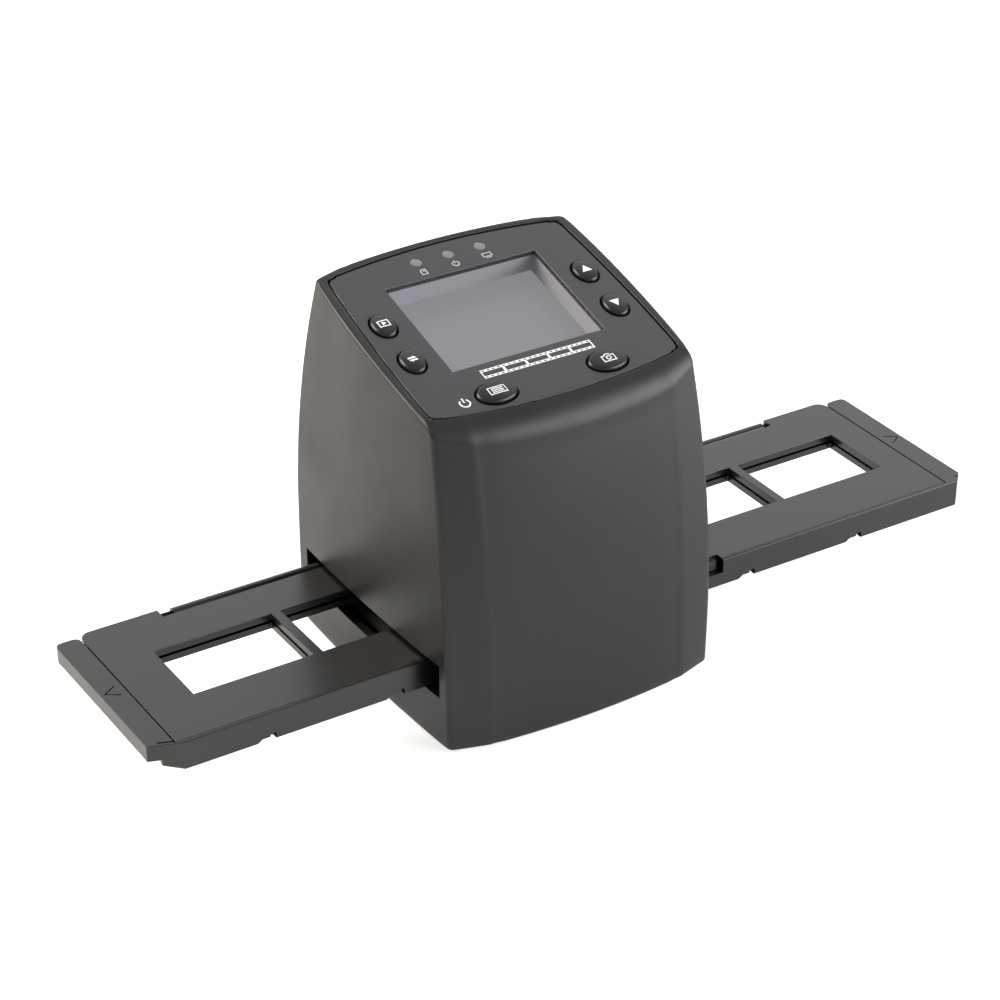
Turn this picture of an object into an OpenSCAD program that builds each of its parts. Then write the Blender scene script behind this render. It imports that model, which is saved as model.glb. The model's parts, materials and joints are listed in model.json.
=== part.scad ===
// Film negative scanner: a desktop housing with a tilted display panel and a hinged film holder
// that slides through it from side to side.
// Millimetres. The origin is on the table under the housing's middle. X runs along the film
// holder, +Y points to the back and +Z up.

/* [Housing] */
// Width across the side walls where they bulge most
body_w = 86.8; // [84:0.1:92]
// Width across the side walls at the height of the display
body_top_w = 82.2; // [80.5:0.1:86]
// Height of the widest part of the side walls
belly_z = 28.6; // [10:0.2:50]
// From the film's centre line to the front corners, at the foot
front_reach = 39.6; // [38.8:0.1:44]
// From the film's centre line to the back corners, at the foot
back_reach = 41.4; // [40.6:0.1:45]
// Height at which the front wall starts to sweep back
front_sweep_z = 12.6; // [5:0.2:30]
// Radius of the front wall's sweep, seen from the side
front_sweep_r = 340; // [320:5:600]
// Height at which the back wall starts to sweep forward
back_sweep_z = 38.6; // [20:0.2:60]
// Radius of the back wall's sweep, seen from the side
back_sweep_r = 254; // [240:2:500]
// How far the side walls bow out between their corners
side_bulge = 1.25; // [0.4:0.05:2]
// Half the distance between the two front corner strips
strip_x = 30.5; // [26:0.5:34]
// How far the corner strips carry the front wall outwards
strip_depth = 3.4; // [2:0.1:4.5]
// How far the corner strips carry the back wall outwards
back_strip_depth = 2.4; // [1:0.1:4.5]
// How far the front and back walls bow out between the corner strips
crown = 1.9; // [0.5:0.1:3]
// Thickness of the housing's walls
wall = 2.3; // [1.6:0.1:2.6]
// Rounding of the housing's front top edge
front_rim_r = 8; // [4:0.5:9]
// Rounding of the housing's other top edges
side_rim_r = 0.9; // [0.5:0.1:2.4]
// Height of the housing's lower edge above the table
foot_proud = 0.6; // [0.4:0.1:1.2]

/* [Control panel] */
// Slope of the control panel, rising to the back, in degrees
panel_tilt = 15.2; // [12:0.1:18]
// Place of the display's centre behind the film's centre line
panel_y = 4.3; // [3.8:0.1:4.8]
// Height of the display's centre
panel_z = 102; // [98:0.1:110]
// Thickness of the control panel's plate
panel_t = 1.6; // [1.2:0.1:2]
// Width of the display window
window_w = 47; // [44:0.1:48]
// Height of the display window
window_h = 35.6; // [33:0.1:36.4]
// Depth of the display below the control panel's face
display_depth = 7.3; // [6.4:0.1:8.4]
// Width of the upright buttons beside the display
side_button_w = 6.6; // [6:0.1:7.6]
// Height of the upright buttons beside the display
side_button_h = 8.9; // [7:0.1:9.2]
// Width of the buttons below the display
oval_button_w = 11.7; // [10:0.1:13]
// Height of the buttons below the display
oval_button_h = 7.9; // [7:0.1:8.6]
// How far the buttons' crowns stand above the panel
button_proud = 1.2; // [0.6:0.1:1.6]
// How far a button travels when it is pressed
button_travel = 0.6; // [0.3:0.05:0.7]
// Diameter of the indicator lights
light_d = 3.2; // [2.6:0.1:3.6]
// Distance between the indicator lights
light_pitch = 10; // [8:0.1:12]

/* [Film holder] */
// Distance from one film frame to the next
frame_pitch = 38; // [37.6:0.1:38.8]
// Number of film frames in the holder
frame_count = 6; // [4:1:6]
// Width of the film holder, front to back
holder_w = 60; // [58:0.1:61]
// Thickness of the closed film holder
holder_t = 8.2; // [7.4:0.1:8.6]
// Thickness of the holder's lid
lid_t = 2; // [1.6:0.1:2.6]
// Width of the bar between two windows of the lid
window_bar = 2.84; // [2.4:0.02:5]
// Width of one window in the lid
window_y = 23.56; // [22:0.02:25]
// From the leftmost film frame to the holder's left end
left_margin = 19.5; // [17:0.1:24]
// From the rightmost film frame to the holder's right end
right_margin = 16; // [14:0.1:24]
// Length of each end block
end_block = 6.9; // [6:0.1:8]
// Height of the holder's top face above the table
holder_top = 25; // [24:0.1:28]
// Where the middle of the windows stands along X
holder_x = 11; // [-20:0.5:20]
// Diameter of the lid's hinge pins
pin_d = 2; // [1.6:0.1:2.2]

/* [Optics and light] */
// Width of the light opening under the film
gate_w = 38; // [36.5:0.1:40]
// Depth of the light opening under the film
gate_h = 26; // [25:0.1:28]
// Outer diameter of the lens barrel
barrel_d = 9; // [7:0.1:10]
// Length of the lens barrel
barrel_l = 12.5; // [10:0.5:14]

/* [Hidden] */

// Facets of round parts, and of the small ones
round_fn = 64;
small_fn = 32;
// One overrun serves all cuts
over = 1;
// Gap that separates pieces of one assembly, and pieces that move past each other
fit_gap = 0.05;
seat_gap = 0.2;
run_gap = 0.3;

// Housing outline: points on a corner's rounding, on a crease and along a bowed wall
corner_steps = 4;
crease_steps = 1;
wall_steps = 5;
rim_steps = 4;
// Heights of the wall's rings, as shares of its height
wall_shares = [0.12, 0.25, 0.38, 0.5, 0.62, 0.74, 0.86, 1];
cavity_shares = [0.3, 0.5, 0.7, 0.85, 1];
corner_reach = 1.6;
side_share = 0.45;
crease_reach = 2.2;
foot_edge_r = 0.4;
rim_proud = 0.3;
// The front rim's rounding fades into the side rims between these places, as shares of the reach
rim_fade_from_share = 0.55;
rim_fade_to_share = 0.95;
deck_t = 2.2;
deck_n = -(panel_t + deck_t);

// Control panel outline, in the panel's own plane, from the display's centre
panel_back_margin = 5;
panel_front_margin = 3.1;
panel_back_w = body_top_w - 2 * panel_back_margin;
panel_front_w = body_top_w - 2 * panel_front_margin;
light_margin = 7;
light_edge = 2;
oval_margin = 7.55;
oval_edge = 1.25;
panel_back_v = window_h / 2 + light_margin + light_edge;
panel_front_v = window_h / 2 + oval_margin + oval_button_h - oval_edge;
panel_back_bow = 3.2;
panel_front_bow = 3.8;
panel_side_bow = 0.9;
panel_corner = 2.3;
panel_gap = 0.45;
panel_steps = 8;

// Buttons: place of each across and up the panel
gasket_wall = 1.7;
side_shift = 0.35;
oval_in = 6.4;
side_u = (window_w / 2 + gasket_wall + seat_gap - side_shift
    + (panel_back_w + panel_front_w) / 4 + panel_side_bow) / 2;
upper_v = 4.65;
lower_v = -10.6;
oval_u = window_w / 2 - oval_in;
oval_v = -(window_h + oval_button_h) / 2 - oval_margin;
button_gap = 0.4;
crown_rise = 0.5;
flange_rim = 0.9;
flange_t = 0.9;
oval_steps = 40;
stem_d = 3;
plunger_grip = 1.8;
switch_w = 6;
switch_h = 2.4;
plunger_d = 3;
plunger_proud = 0.9;
switch_floor = 0.4;

// Indicator lights
light_v = window_h / 2 + light_margin;
light_flange = 0.9;
light_proud = 0.15;
led_w = 1.6;
led_h = 0.8;
light_count = 3;

// Display and the key board that carries it
display_t = 2.5;
display_edge_w = 3;
display_edge_h = 2.7;
display_w = window_w + 2 * display_edge_w;
display_h = window_h + 2 * display_edge_h;
bezel_t = 0.3;
bezel_lip = 2.4;
board_t = 1.2;
key_side_gap = 2.05;
key_board_edge = 1;
key_board_w = body_top_w - 2 * (wall + side_bulge + key_side_gap);
key_board_back = display_h / 2 + key_board_edge;
key_board_front = -oval_v + 4.2 * key_board_edge;
key_tongue_edge = 3.5;
key_tongue_w = (light_count - 1) * light_pitch + 2 * key_tongue_edge;
key_tongue_back = light_v + key_tongue_edge / 2 + fit_gap;
key_post_in = [3.7, 12, 4.2];
key_post_u = key_board_w / 2 - key_post_in[0];
key_post_v = [key_post_in[1] - key_board_front, key_board_back - key_post_in[2]];
key_post_d = 5;
key_n = -(display_depth + display_t);
key_under_n = key_n - board_t;

// Screws of one kind, in lengths
screw_d = 1.7;
screw_head_d = 3.6;
screw_head_h = 1.3;
screw_slot = 0.5;
screw_slot_deep = 0.6;
screw_slot_share = 0.7;
screw_bore = screw_d + 2 * fit_gap;

// Main board, hung between the display and the lens tower
main_front = -8;
main_gap = 1;
main_t = 1.6;
main_side_gap = 5.43;
main_edge = 4;
main_post_in = 4.5;
main_wall_gap = 0.8;
main_top = panel_plane_z(main_front, key_under_n) - main_gap;
main_z = main_top - main_t;
main_back = back_corner(main_top + main_t + 2 * main_gap) - wall - main_wall_gap;
main_post_d = 6;
main_w = 2 * (half_width(main_top) - side_bulge - wall - main_side_gap);
main_post_x = main_w / 2 - main_post_in;
main_post_y = [main_front + main_edge, main_back - main_edge];
chip_t = 1.2;
processor_w = 12;
processor_at = [-12, 2];
memory_w = 8;
memory_l = 12;
memory_at = [6, 3];

// Sockets in the back wall
card_w = 28;
card_h = 3;
card_l = 26;
card_x = screw_head_d / 2 + run_gap + card_w / 2 - main_post_x;
card_slot_w = 24.6;
card_slot_h = 2.2;
card_slot_l = 22;
usb_w = 9;
usb_h = 4;
usb_l = 9.2;
usb_side_gap = 3.2;
usb_x = main_post_x - screw_head_d / 2 - usb_side_gap - usb_w / 2;
usb_wall = 0.6;
usb_tongue_t = 1;
usb_tongue_w = 4.4;
usb_tongue_l = 6;
socket_gap = 0.4;
socket_inset = 0.3;

// Lens tower and sensor
sensor_drop = 8;
tower_gap = 8;
sensor_t = board_t;
sensor_w = 30;
sensor_l = 28;
sensor_post_d = 4.6;
sensor_post_x = 12;
sensor_post_y = 11;
sensor_z = main_z - sensor_drop;
deck_top = sensor_z - tower_gap;
tower_plate_t = 2;
frame_flange_t = 2.4;
tower_wall = 2;
tower_top_w = 30;
tower_foot_edge = 7;
tower_foot_w = gate_w + 2 * tower_foot_edge;
tower_foot_l = gate_h + 2 * tower_foot_edge;
plate_in = 1;
plate_w = main_w - 2 * plate_in;
screw_deep = 8;
chip_w = 11;
chip_l = 9;
chip_h = 1.4;
lens_base_w = 16;
lens_base_h = 5;
lens_cavity_w = 12.4;
lens_cavity_h = 3;
lens_tube_wall = 2;
lens_tube_d = barrel_d + 2 * lens_tube_wall;
lens_tube_l = 9;
barrel_flange_rim = 1;
barrel_flange_d = barrel_d + 2 * barrel_flange_rim;
barrel_flange_t = 2.4;
barrel_wall = 1;
barrel_floor = 1.2;
barrel_sight_d = 5;
barrel_knurls = 24;
knurl_deep = 0.4;
filter_t = 0.5;
filter_w = 11;
lens_edge_t = 1.2;
lens_r = 9;
lens_count = 3;
lens_step = 3.6;

// Tray guide, the channel that the film holder runs in
slot_side_gap = 5.8;
slot_over = 1;
slot_under = 0.8;
bed_t = 2.5;
gate_roof = 1.2;
gate_side_gap = 0.3;
rail_w = 4.3;
guide_end_gap = 1.85;
guide_l = body_w - 2 * (wall + side_bulge + guide_end_gap);
lead_in = 2.5;
frame_gap = 1.2;
leg_d = 6.4;
leg_in = [5, 10.6];
leg_x = guide_l / 2 - leg_in.x;
leg_y = holder_w / 2 + run_gap + rail_w - leg_in.y;
rail_screw_in = 6;
rail_screw_x = guide_l / 2 - rail_screw_in;
// Where the spring's bump stands, and so the shift of each notch from its window
spring_x = -5.9;
spring_in = 2.6;
spring_y = holder_w / 2 - spring_in;
spring_l = 22;
spring_w = 3.6;
spring_t = 0.4;
spring_bump_r = 1.4;
spring_pocket = 1.1;
spring_pocket_gap = 0.6;

// Base plate, its screws and its rubber pad
base_t = 2.2;
base_gap = 0.25;
boss_d = 5.4;
boss_side_in = 9.1;
boss_x = body_w / 2 - boss_side_in;
boss_in = 3.3;
boss_rib_w = 2.4;
boss_h = 11;
pad_deep = 0.6;
pad_corner = 6;
pad_edge = [-4, 6];
pad_w = 2 * (leg_x + pad_edge.x);
pad_l = 2 * (leg_y + pad_edge.y);
head_room = 0.3;

// Backlight
light_wall = 1.6;
light_board_t = 1.2;
light_board_tail = 7;
light_stand = 0.8;
light_leg_share = 1 / 3;
light_rows = 3;
light_columns = 4;
light_led_w = 3.4;
light_led_l = 2.8;
light_led_h = 1;
light_led_pitch = 8.6;
diffuser_t = 1.5;
diffuser_edge = 1.5;
box_gap = 0.3;

// Ribbons and the light's lead
ribbon_w = 11;
ribbon_t = 0.3;
connector_w = 14;
connector_l = 3;
connector_h = 1.4;
lead_w = 7;
lead_t = 0.6;
lead_side_gap = 1;
lead_x = main_post_x - main_post_d / 2 - lead_side_gap - connector_w / 2;
key_ribbon_y = 20;
key_ribbon_x = 20;
sensor_ribbon_y = 9;
lead_bend = 1.6;

// Film holder details, from the middle of its windows
film_gap = 0.2;
floor_t = 2.3;
skirt_w = 5.5;
base_window_ledge = 0.2;
base_window_corner = 0.3;
film_w = 35.2;
film_groove = 0.5;
lid_end_gap = 0.35;
lid_inset = 0.2;
near_rim = 0.9;
near_edge_cut = 0.5;
rail_r = 1.7;
window_x = frame_pitch - window_bar;
holder_left = frame_count / 2 * frame_pitch + left_margin;
holder_right = frame_count / 2 * frame_pitch + right_margin;
rail_in_from_end = 15;
rail_l = frame_count * frame_pitch - 2 * rail_in_from_end;
rail_gap = 0.7;
rail_web_share = 0.9;
ear_gaps = [3.8, 1.8];
ear_corner = 4;
block_step = 1.6;
block_back = holder_w / 2 - block_step;
block_corner = 2;
block_notch = 2.2;
key_chamfer_x = 8.7;
key_chamfer_y = 3.1;
near_chamfer = 3.4;
lip_l = 4.7;
lip_chamfer = 4.3;
lip_t = 4.6;
detent_w = 3.2;
detent_deep = 0.9;
detent_run = 1.4;
detent_in = 3;
pit_r = 1;
pit_deep = 0.8;
detent_shift = spring_x;
latch_x = frame_pitch;
latch_w = 9;
latch_drop = 4.2;
latch_deep = 3.2;
latch_tongue_w = 7;
latch_tongue_t = 1.3;
latch_tongue_l = 1.8;
chevron_l = 4.4;
chevron_w = 0.4;
chevron_deep = 0.3;
chevron_spread = 32;
slit_l = 4.4;
slit_w = 0.6;
slit_deep = 1.8;
slit_in = 1.1;
slit_drop = 2.4;
pin_l = 11;
pin_in = 4;
pin_gap = 0.06;
knuckle_l = 6;
knuckle_r = 1.6;
ear_relief = 1;

// Places worked out from the values above
holder_z = holder_top - holder_t;
bed_top = holder_z - run_gap;
bed_z = bed_top - bed_t;
frame_z = holder_top + frame_gap;
frame_top = frame_z + frame_flange_t;
rail_in = holder_w / 2 + run_gap;
rail_out = rail_in + rail_w;
base_top = foot_proud + base_t;
light_floor = base_top + light_stand;
gate_top = holder_top - lid_t - film_gap - floor_t - run_gap;
light_top = gate_top - gate_roof - diffuser_t;
lens_base_z = sensor_z - lens_base_h;
lens_tube_z = lens_base_z - lens_tube_l;
barrel_top = lens_base_z - filter_t / 2;
barrel_z = barrel_top - barrel_l;

// Housing shape
function mix(a, b, t) = a + (b - a) * t;
function unit(v) = v / norm(v);
function half_width(z) =
    (body_w - (body_w - body_top_w) * pow((z - belly_z) / (panel_z - belly_z), 2)) / 2;
function sweep(z, start, r) = pow(max(0, z - start), 2) / (2 * r);
function front_corner(z) = sweep(z, front_sweep_z, front_sweep_r) - front_reach;
function back_corner(z) = back_reach - sweep(z, back_sweep_z, back_sweep_r);
function back_wall(x, z) =
    back_corner(z) + back_strip_depth + crown * (1 - pow(x / strip_x, 2));

// Height of the plane that lies n above the panel's face, at the place y
function panel_plane_z(y, n) =
    panel_z + (n + (y - panel_y) * sin(panel_tilt)) / cos(panel_tilt);
// Place and height of a point that lies v up the panel and n above its face
function panel_point(v, n) = [
    panel_y + v * cos(panel_tilt) - n * sin(panel_tilt),
    panel_z + v * sin(panel_tilt) + n * cos(panel_tilt)
];

// A corner v between p and q, rounded over the length reach, or less where its sides are short
function soft_corner(v, p, q, reach, steps) =
    let (
        near = min(reach, side_share * norm(p - v), side_share * norm(q - v)),
        a = v + near * unit(p - v),
        b = v + near * unit(q - v)
    )
    [for (i = [0 : steps]) mix(mix(a, v, i / steps), mix(v, b, i / steps), i / steps)];
// Points between a and b, bowed to the right of the way from a to b
function bowed(a, b, rise, steps) =
    let (side = unit([b.y - a.y, a.x - b.x]))
    [for (i = [1 : steps - 1]) mix(a, b, i / steps) + side * rise * 4 * (i / steps) * (1 - i / steps)];

// Outline of the housing at a height, drawn in by inset
function body_outline(z, inset) =
    let (
        w = half_width(z) - side_bulge - inset,
        f = front_corner(z) + inset,
        b = back_corner(z) - inset,
        fr = [w, f], br = [w, b], bl = [-w, b], fl = [-w, f],
        sbr = [strip_x, b + back_strip_depth], sbl = [-strip_x, b + back_strip_depth],
        sfl = [-strip_x, f - strip_depth], sfr = [strip_x, f - strip_depth]
    )
    concat(
        soft_corner(fr, sfr, br, corner_reach, corner_steps),
        bowed(fr, br, side_bulge, wall_steps),
        soft_corner(br, fr, sbr, corner_reach, corner_steps),
        soft_corner(sbr, br, sbl, crease_reach, crease_steps),
        bowed(sbr, sbl, crown, wall_steps),
        soft_corner(sbl, sbr, bl, crease_reach, crease_steps),
        soft_corner(bl, sbl, fl, corner_reach, corner_steps),
        bowed(bl, fl, side_bulge, wall_steps),
        soft_corner(fl, bl, sfl, corner_reach, corner_steps),
        soft_corner(sfl, fl, sfr, crease_reach, crease_steps),
        bowed(sfl, sfr, crown, wall_steps),
        soft_corner(sfr, sfl, fr, crease_reach, crease_steps)
    );

// The top edge's rounding at the place y: full at the front, small at the sides and back
function fade(y) =
    let (
        t = (-y / front_reach - rim_fade_from_share) / (rim_fade_to_share - rim_fade_from_share),
        s = min(1, max(0, t))
    )
    s * s * (3 - 2 * s);
function rim_r(y, front_r, side_r) = mix(side_r, front_r, fade(y));

// One ring of the housing: t runs up the wall from bottom, and phi up the rounding of its rim,
// which ends on the plane top_n above the panel's face
function body_ring(inset, bottom, top_n, front_r, side_r, t, phi) =
    let (count = len(body_outline(bottom, inset)), bend = 1 - cos(phi))
    [for (i = [0 : count - 1])
        let (
            guess = body_outline(mix(bottom, panel_z, t), inset)[i],
            r = rim_r(guess.y, front_r, side_r),
            guess_z = mix(bottom, panel_plane_z(guess.y, top_n) - r, t),
            p = body_outline(guess_z, inset)[i],
            reach = p.y < 0 ? front_reach : back_reach,
            x = p.x * (1 - side_r * bend / (body_top_w / 2)),
            y = p.y * (1 - (p.y < 0 ? front_r : side_r) * bend / reach),
            wall_z = mix(bottom, panel_plane_z(y, top_n) - r, t)
        )
        [x, y, wall_z + r * sin(phi)]
    ];

// A solid through rings of equal counts, from the lowest to the highest
module loft(rings) {
    count = len(rings[0]);
    last = len(rings) - 1;
    points = [for (ring = rings) each ring];
    sides = [for (k = [0 : last - 1]) for (i = [0 : count - 1])
        let (j = (i + 1) % count, a = k * count, b = a + count)
        each [[a + i, b + i, b + j], [a + i, b + j, a + j]]];
    foot = [[for (i = [0 : count - 1]) i]];
    head = [[for (i = [count - 1 : -1 : 0]) last * count + i]];
    polyhedron(points = points, faces = concat(foot, sides, head), convexity = 4);
}

module on_panel(u = 0, v = 0, n = 0) {
    translate([0, panel_y, panel_z]) rotate([panel_tilt, 0, 0]) translate([u, v, n]) children();
}

// A block centred on X and Y that stands on z = 0, and a hollow one
module block(w, l, h) { translate([-w / 2, -l / 2, 0]) cube([w, l, h]); }
module ring_block(w, l, h, t) {
    difference() {
        block(w, l, h);
        translate([0, 0, -over]) block(w - 2 * t, l - 2 * t, h + 2 * over);
    }
}

module peg(d, h) { cylinder(d = d, h = h, $fn = round_fn); }

// A screw whose head rests on z = 0 and whose shank points up
module screw(length) {
    difference() {
        union() {
            translate([0, 0, -screw_head_h]) peg(screw_head_d, screw_head_h);
            peg(screw_d, length);
        }
        for (turn = [0, 90])
            rotate(turn) translate([0, 0, -screw_head_h - over])
                block(screw_slot_share * screw_head_d, screw_slot, screw_slot_deep + over);
    }
}
module screw_down(length) { mirror([0, 0, 1]) screw(length); }

module at_corners(x, y) {
    for (sx = [-1, 1]) for (sy = [-1, 1]) translate([sx * x, sy * y, 0]) children();
}
module at_places(x, ys) {
    for (sx = [-1, 1]) for (y = ys) translate([sx * x, y, 0]) children();
}

// Outline of the control panel, grown by g all round
function panel_outline(g) =
    let (
        bw = panel_back_w / 2 + g, fw = panel_front_w / 2 + g,
        bv = panel_back_v + g, fv = -panel_front_v - g,
        fr = [fw, fv], br = [bw, bv], bl = [-bw, bv], fl = [-fw, fv]
    )
    concat(
        soft_corner(fr, fl, br, panel_corner, corner_steps),
        bowed(fr, br, panel_side_bow, panel_steps),
        soft_corner(br, fr, bl, panel_corner, corner_steps),
        bowed(br, bl, panel_back_bow, panel_steps),
        soft_corner(bl, br, fl, panel_corner, corner_steps),
        bowed(bl, fl, panel_side_bow, panel_steps),
        soft_corner(fl, bl, fr, panel_corner, corner_steps),
        bowed(fl, fr, panel_front_bow, panel_steps)
    );

function oval_outline(w, h) =
    [for (i = [0 : oval_steps - 1]) [w / 2 * cos(360 * i / oval_steps), h / 2 * sin(360 * i / oval_steps)]];

function button_place(name) =
    name == "play" ? [-side_u, upper_v] :
    name == "flip" ? [-side_u, lower_v] :
    name == "up" ? [side_u, upper_v] :
    name == "down" ? [side_u, lower_v] :
    name == "menu" ? [-oval_u, oval_v] : [oval_u, oval_v];
function button_size(name) =
    name == "menu" || name == "capture" ? [oval_button_w, oval_button_h] : [side_button_w, side_button_h];
// Section of a button, grown by g all round
module button_section(name, g) {
    polygon(oval_outline(button_size(name).x + 2 * g, button_size(name).y + 2 * g));
}
button_names = ["play", "flip", "up", "down", "menu", "capture"];

switch_n = key_n + switch_h;
plunger_n = switch_n + plunger_proud;

// Holes for the display, the lights and the buttons, through the panel and the deck under it
module panel_holes(window_gap, light_gap) {
    block(window_w + 2 * window_gap, window_h + 2 * window_gap, panel_t + deck_t + 4 * over);
    for (i = [0 : light_count - 1])
        translate([(i - (light_count - 1) / 2) * light_pitch, light_v, 0])
            peg(light_d + 2 * light_gap, panel_t + deck_t + 4 * over);
    for (name = button_names)
        translate(button_place(name))
            linear_extrude(panel_t + deck_t + 4 * over)
                button_section(name, button_gap);
}

boss_rib_l = boss_in + wall / 2;
function boss_y(z) = [front_corner(z) + boss_in, back_corner(z) - boss_in];

module upper_housing() {
    outer_foot = body_ring(foot_edge_r, foot_proud, rim_proud, front_rim_r, side_rim_r, 0, 0);
    edge_share = foot_edge_r / panel_z;
    outer = concat(
        [outer_foot, body_ring(0, foot_proud, rim_proud, front_rim_r, side_rim_r, edge_share, 0)],
        [for (t = wall_shares) body_ring(0, foot_proud, rim_proud, front_rim_r, side_rim_r, t, 0)],
        [for (k = [1 : rim_steps])
            body_ring(0, foot_proud, rim_proud, front_rim_r, side_rim_r, 1, 90 * k / rim_steps)]
    );
    inner_r = front_rim_r - wall;
    inner_edge = side_rim_r / 2;
    cavity_z = foot_proud - over;
    cavity = concat(
        [body_ring(wall, cavity_z, deck_n, inner_r, inner_edge, 0, 0)],
        [for (t = cavity_shares) body_ring(wall, cavity_z, deck_n, inner_r, inner_edge, t, 0)],
        [for (k = [1 : 2]) body_ring(wall, cavity_z, deck_n, inner_r, inner_edge, 1, 90 * k / 2)]
    );
    slot_w = holder_w + 2 * slot_side_gap;
    slot_z = holder_z - slot_under;
    slot_h = holder_t + slot_under + slot_over;
    cut_x = guide_l / 2 + run_gap;
    color([0.24, 0.24, 0.25]) difference() {
        union() {
            difference() {
                loft(outer);
                loft(cavity);
            }
            for (sx = [-1, 1]) for (y = boss_y(foot_proud)) translate([sx * boss_x, y, base_top]) {
                peg(boss_d, boss_h);
                translate([0, sign(y) * boss_rib_l / 2, 0]) block(boss_rib_w, boss_rib_l, boss_h);
            }
            on_panel() for (sx = [-1, 1]) for (v = key_post_v)
                translate([sx * key_post_u, v, key_n])
                    peg(key_post_d, deck_n - key_n + deck_t / 2);
        }
        on_panel(n = -panel_t) linear_extrude(panel_t + rim_proud + over)
            polygon(panel_outline(panel_gap));
        on_panel(n = deck_n - over) panel_holes(gasket_wall + seat_gap, seat_gap);
        on_panel() for (sx = [-1, 1]) for (v = key_post_v)
            translate([sx * key_post_u, v, key_n - over])
                peg(screw_bore, deck_n - key_n + over);
        for (sx = [-1, 1]) for (y = boss_y(foot_proud))
            translate([sx * boss_x, y, base_top - over]) peg(screw_bore, boss_h);
        for (sx = [-1, 1])
            translate([sx * (cut_x + body_w / 2), 0, slot_z]) block(body_w, slot_w, slot_h);
        translate([card_x, main_back, main_top - socket_gap / 2])
            block(card_w + 2 * socket_gap, back_reach, card_h + 2 * socket_gap);
        translate([usb_x, main_back, main_top - socket_gap / 2])
            block(usb_w + 2 * socket_gap, back_reach, usb_h + 2 * socket_gap);
    }
}

module base_plate() {
    color([0.2, 0.2, 0.21]) difference() {
        translate([0, 0, foot_proud]) linear_extrude(base_t)
            polygon(body_outline(base_top, wall + base_gap));
        translate([0, 0, foot_proud - over])
            soft_block(pad_w + 2 * fit_gap, pad_l + 2 * fit_gap, pad_deep + over, pad_corner);
        for (sx = [-1, 1]) for (y = boss_y(foot_proud))
            translate([sx * boss_x, y, foot_proud]) screw_hole();
        at_corners(leg_x, leg_y) translate([0, 0, foot_proud]) screw_hole();
    }
}
// A hole with a pocket for the head, from the base plate's underside
module screw_hole() {
    translate([0, 0, -over]) peg(screw_bore, base_t + 2 * over);
    translate([0, 0, -over]) peg(screw_head_d + head_room, over + screw_head_h);
}

// Pad that the scanner stands on, let into the base plate
module rubber_pad() {
    color([0.1, 0.1, 0.1]) soft_block(pad_w, pad_l, foot_proud + pad_deep, pad_corner);
}

module base_screws() {
    color("silver") for (sx = [-1, 1]) for (y = boss_y(foot_proud))
        translate([sx * boss_x, y, foot_proud + screw_head_h]) screw(base_t + boss_h / 2);
}

module control_panel() {
    color([0.35, 0.35, 0.37]) on_panel(n = -panel_t) difference() {
        linear_extrude(panel_t) polygon(panel_outline(0));
        translate([0, 0, -over]) panel_holes(0, fit_gap);
    }
}

module window_lens() {
    color([0.6, 0.61, 0.63, 0.5]) on_panel(n = -panel_t)
        block(window_w - 2 * fit_gap, window_h - 2 * fit_gap, panel_t - fit_gap);
}

module indicator_lights() {
    foot_n = key_n + led_h + fit_gap;
    color([0.6, 0.6, 0.62]) for (i = [0 : light_count - 1])
        on_panel((i - (light_count - 1) / 2) * light_pitch, light_v) {
            translate([0, 0, foot_n]) peg(light_d, light_proud - foot_n);
            translate([0, 0, deck_n - flange_t]) peg(light_d + 2 * light_flange, flange_t);
        }
}

// A pressed button: crown, flange under the deck and stem down to its switch
module button(name) {
    half = max(button_size(name).x, button_size(name).y) / 2;
    crown_r = (half * half + crown_rise * crown_rise) / (2 * crown_rise);
    flange_n = deck_n - run_gap - flange_t;
    color([0.12, 0.12, 0.13]) on_panel(button_place(name).x, button_place(name).y) {
        intersection() {
            translate([0, 0, flange_n])
                linear_extrude(button_proud - flange_n) button_section(name, 0);
            translate([0, 0, button_proud - crown_r]) sphere(r = crown_r, $fn = round_fn);
        }
        translate([0, 0, flange_n]) linear_extrude(flange_t) button_section(name, flange_rim);
        translate([0, 0, plunger_n]) peg(stem_d, flange_n - plunger_n + flange_t / 2);
    }
}

module plunger(name) {
    bottom_n = switch_n - plunger_grip + button_travel;
    color([0.7, 0.2, 0.15]) on_panel(button_place(name).x, button_place(name).y, bottom_n)
        peg(plunger_d, plunger_n - bottom_n);
}

module key_switches() {
    color([0.25, 0.25, 0.27]) for (name = button_names)
        on_panel(button_place(name).x, button_place(name).y, key_n) difference() {
            block(switch_w, switch_w, switch_h);
            translate([0, 0, switch_floor]) peg(plunger_d + 2 * fit_gap, switch_h + over);
        }
}

module key_board() {
    color([0.1, 0.3, 0.16]) on_panel(n = key_under_n) difference() {
        union() {
            translate([0, (key_board_back - key_board_front) / 2, 0])
                block(key_board_w, key_board_back + key_board_front, board_t);
            translate([0, key_board_back, 0])
                block(key_tongue_w, 2 * (key_tongue_back - key_board_back), board_t);
        }
        for (sx = [-1, 1]) for (v = key_post_v)
            translate([sx * key_post_u, v, -over]) peg(screw_bore, board_t + 2 * over);
    }
}

module key_board_screws() {
    color("silver") on_panel(n = key_under_n) for (sx = [-1, 1]) for (v = key_post_v)
        translate([sx * key_post_u, v, 0]) screw(board_t + (deck_n - key_n) / 2);
}

module indicator_leds() {
    color([0.85, 0.85, 0.7]) for (i = [0 : light_count - 1])
        on_panel((i - (light_count - 1) / 2) * light_pitch, light_v, key_n)
            block(led_w, led_w, led_h);
}

module display_module() {
    color([0.5, 0.51, 0.53]) on_panel(n = key_n) block(display_w, display_h, display_t);
}

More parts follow.
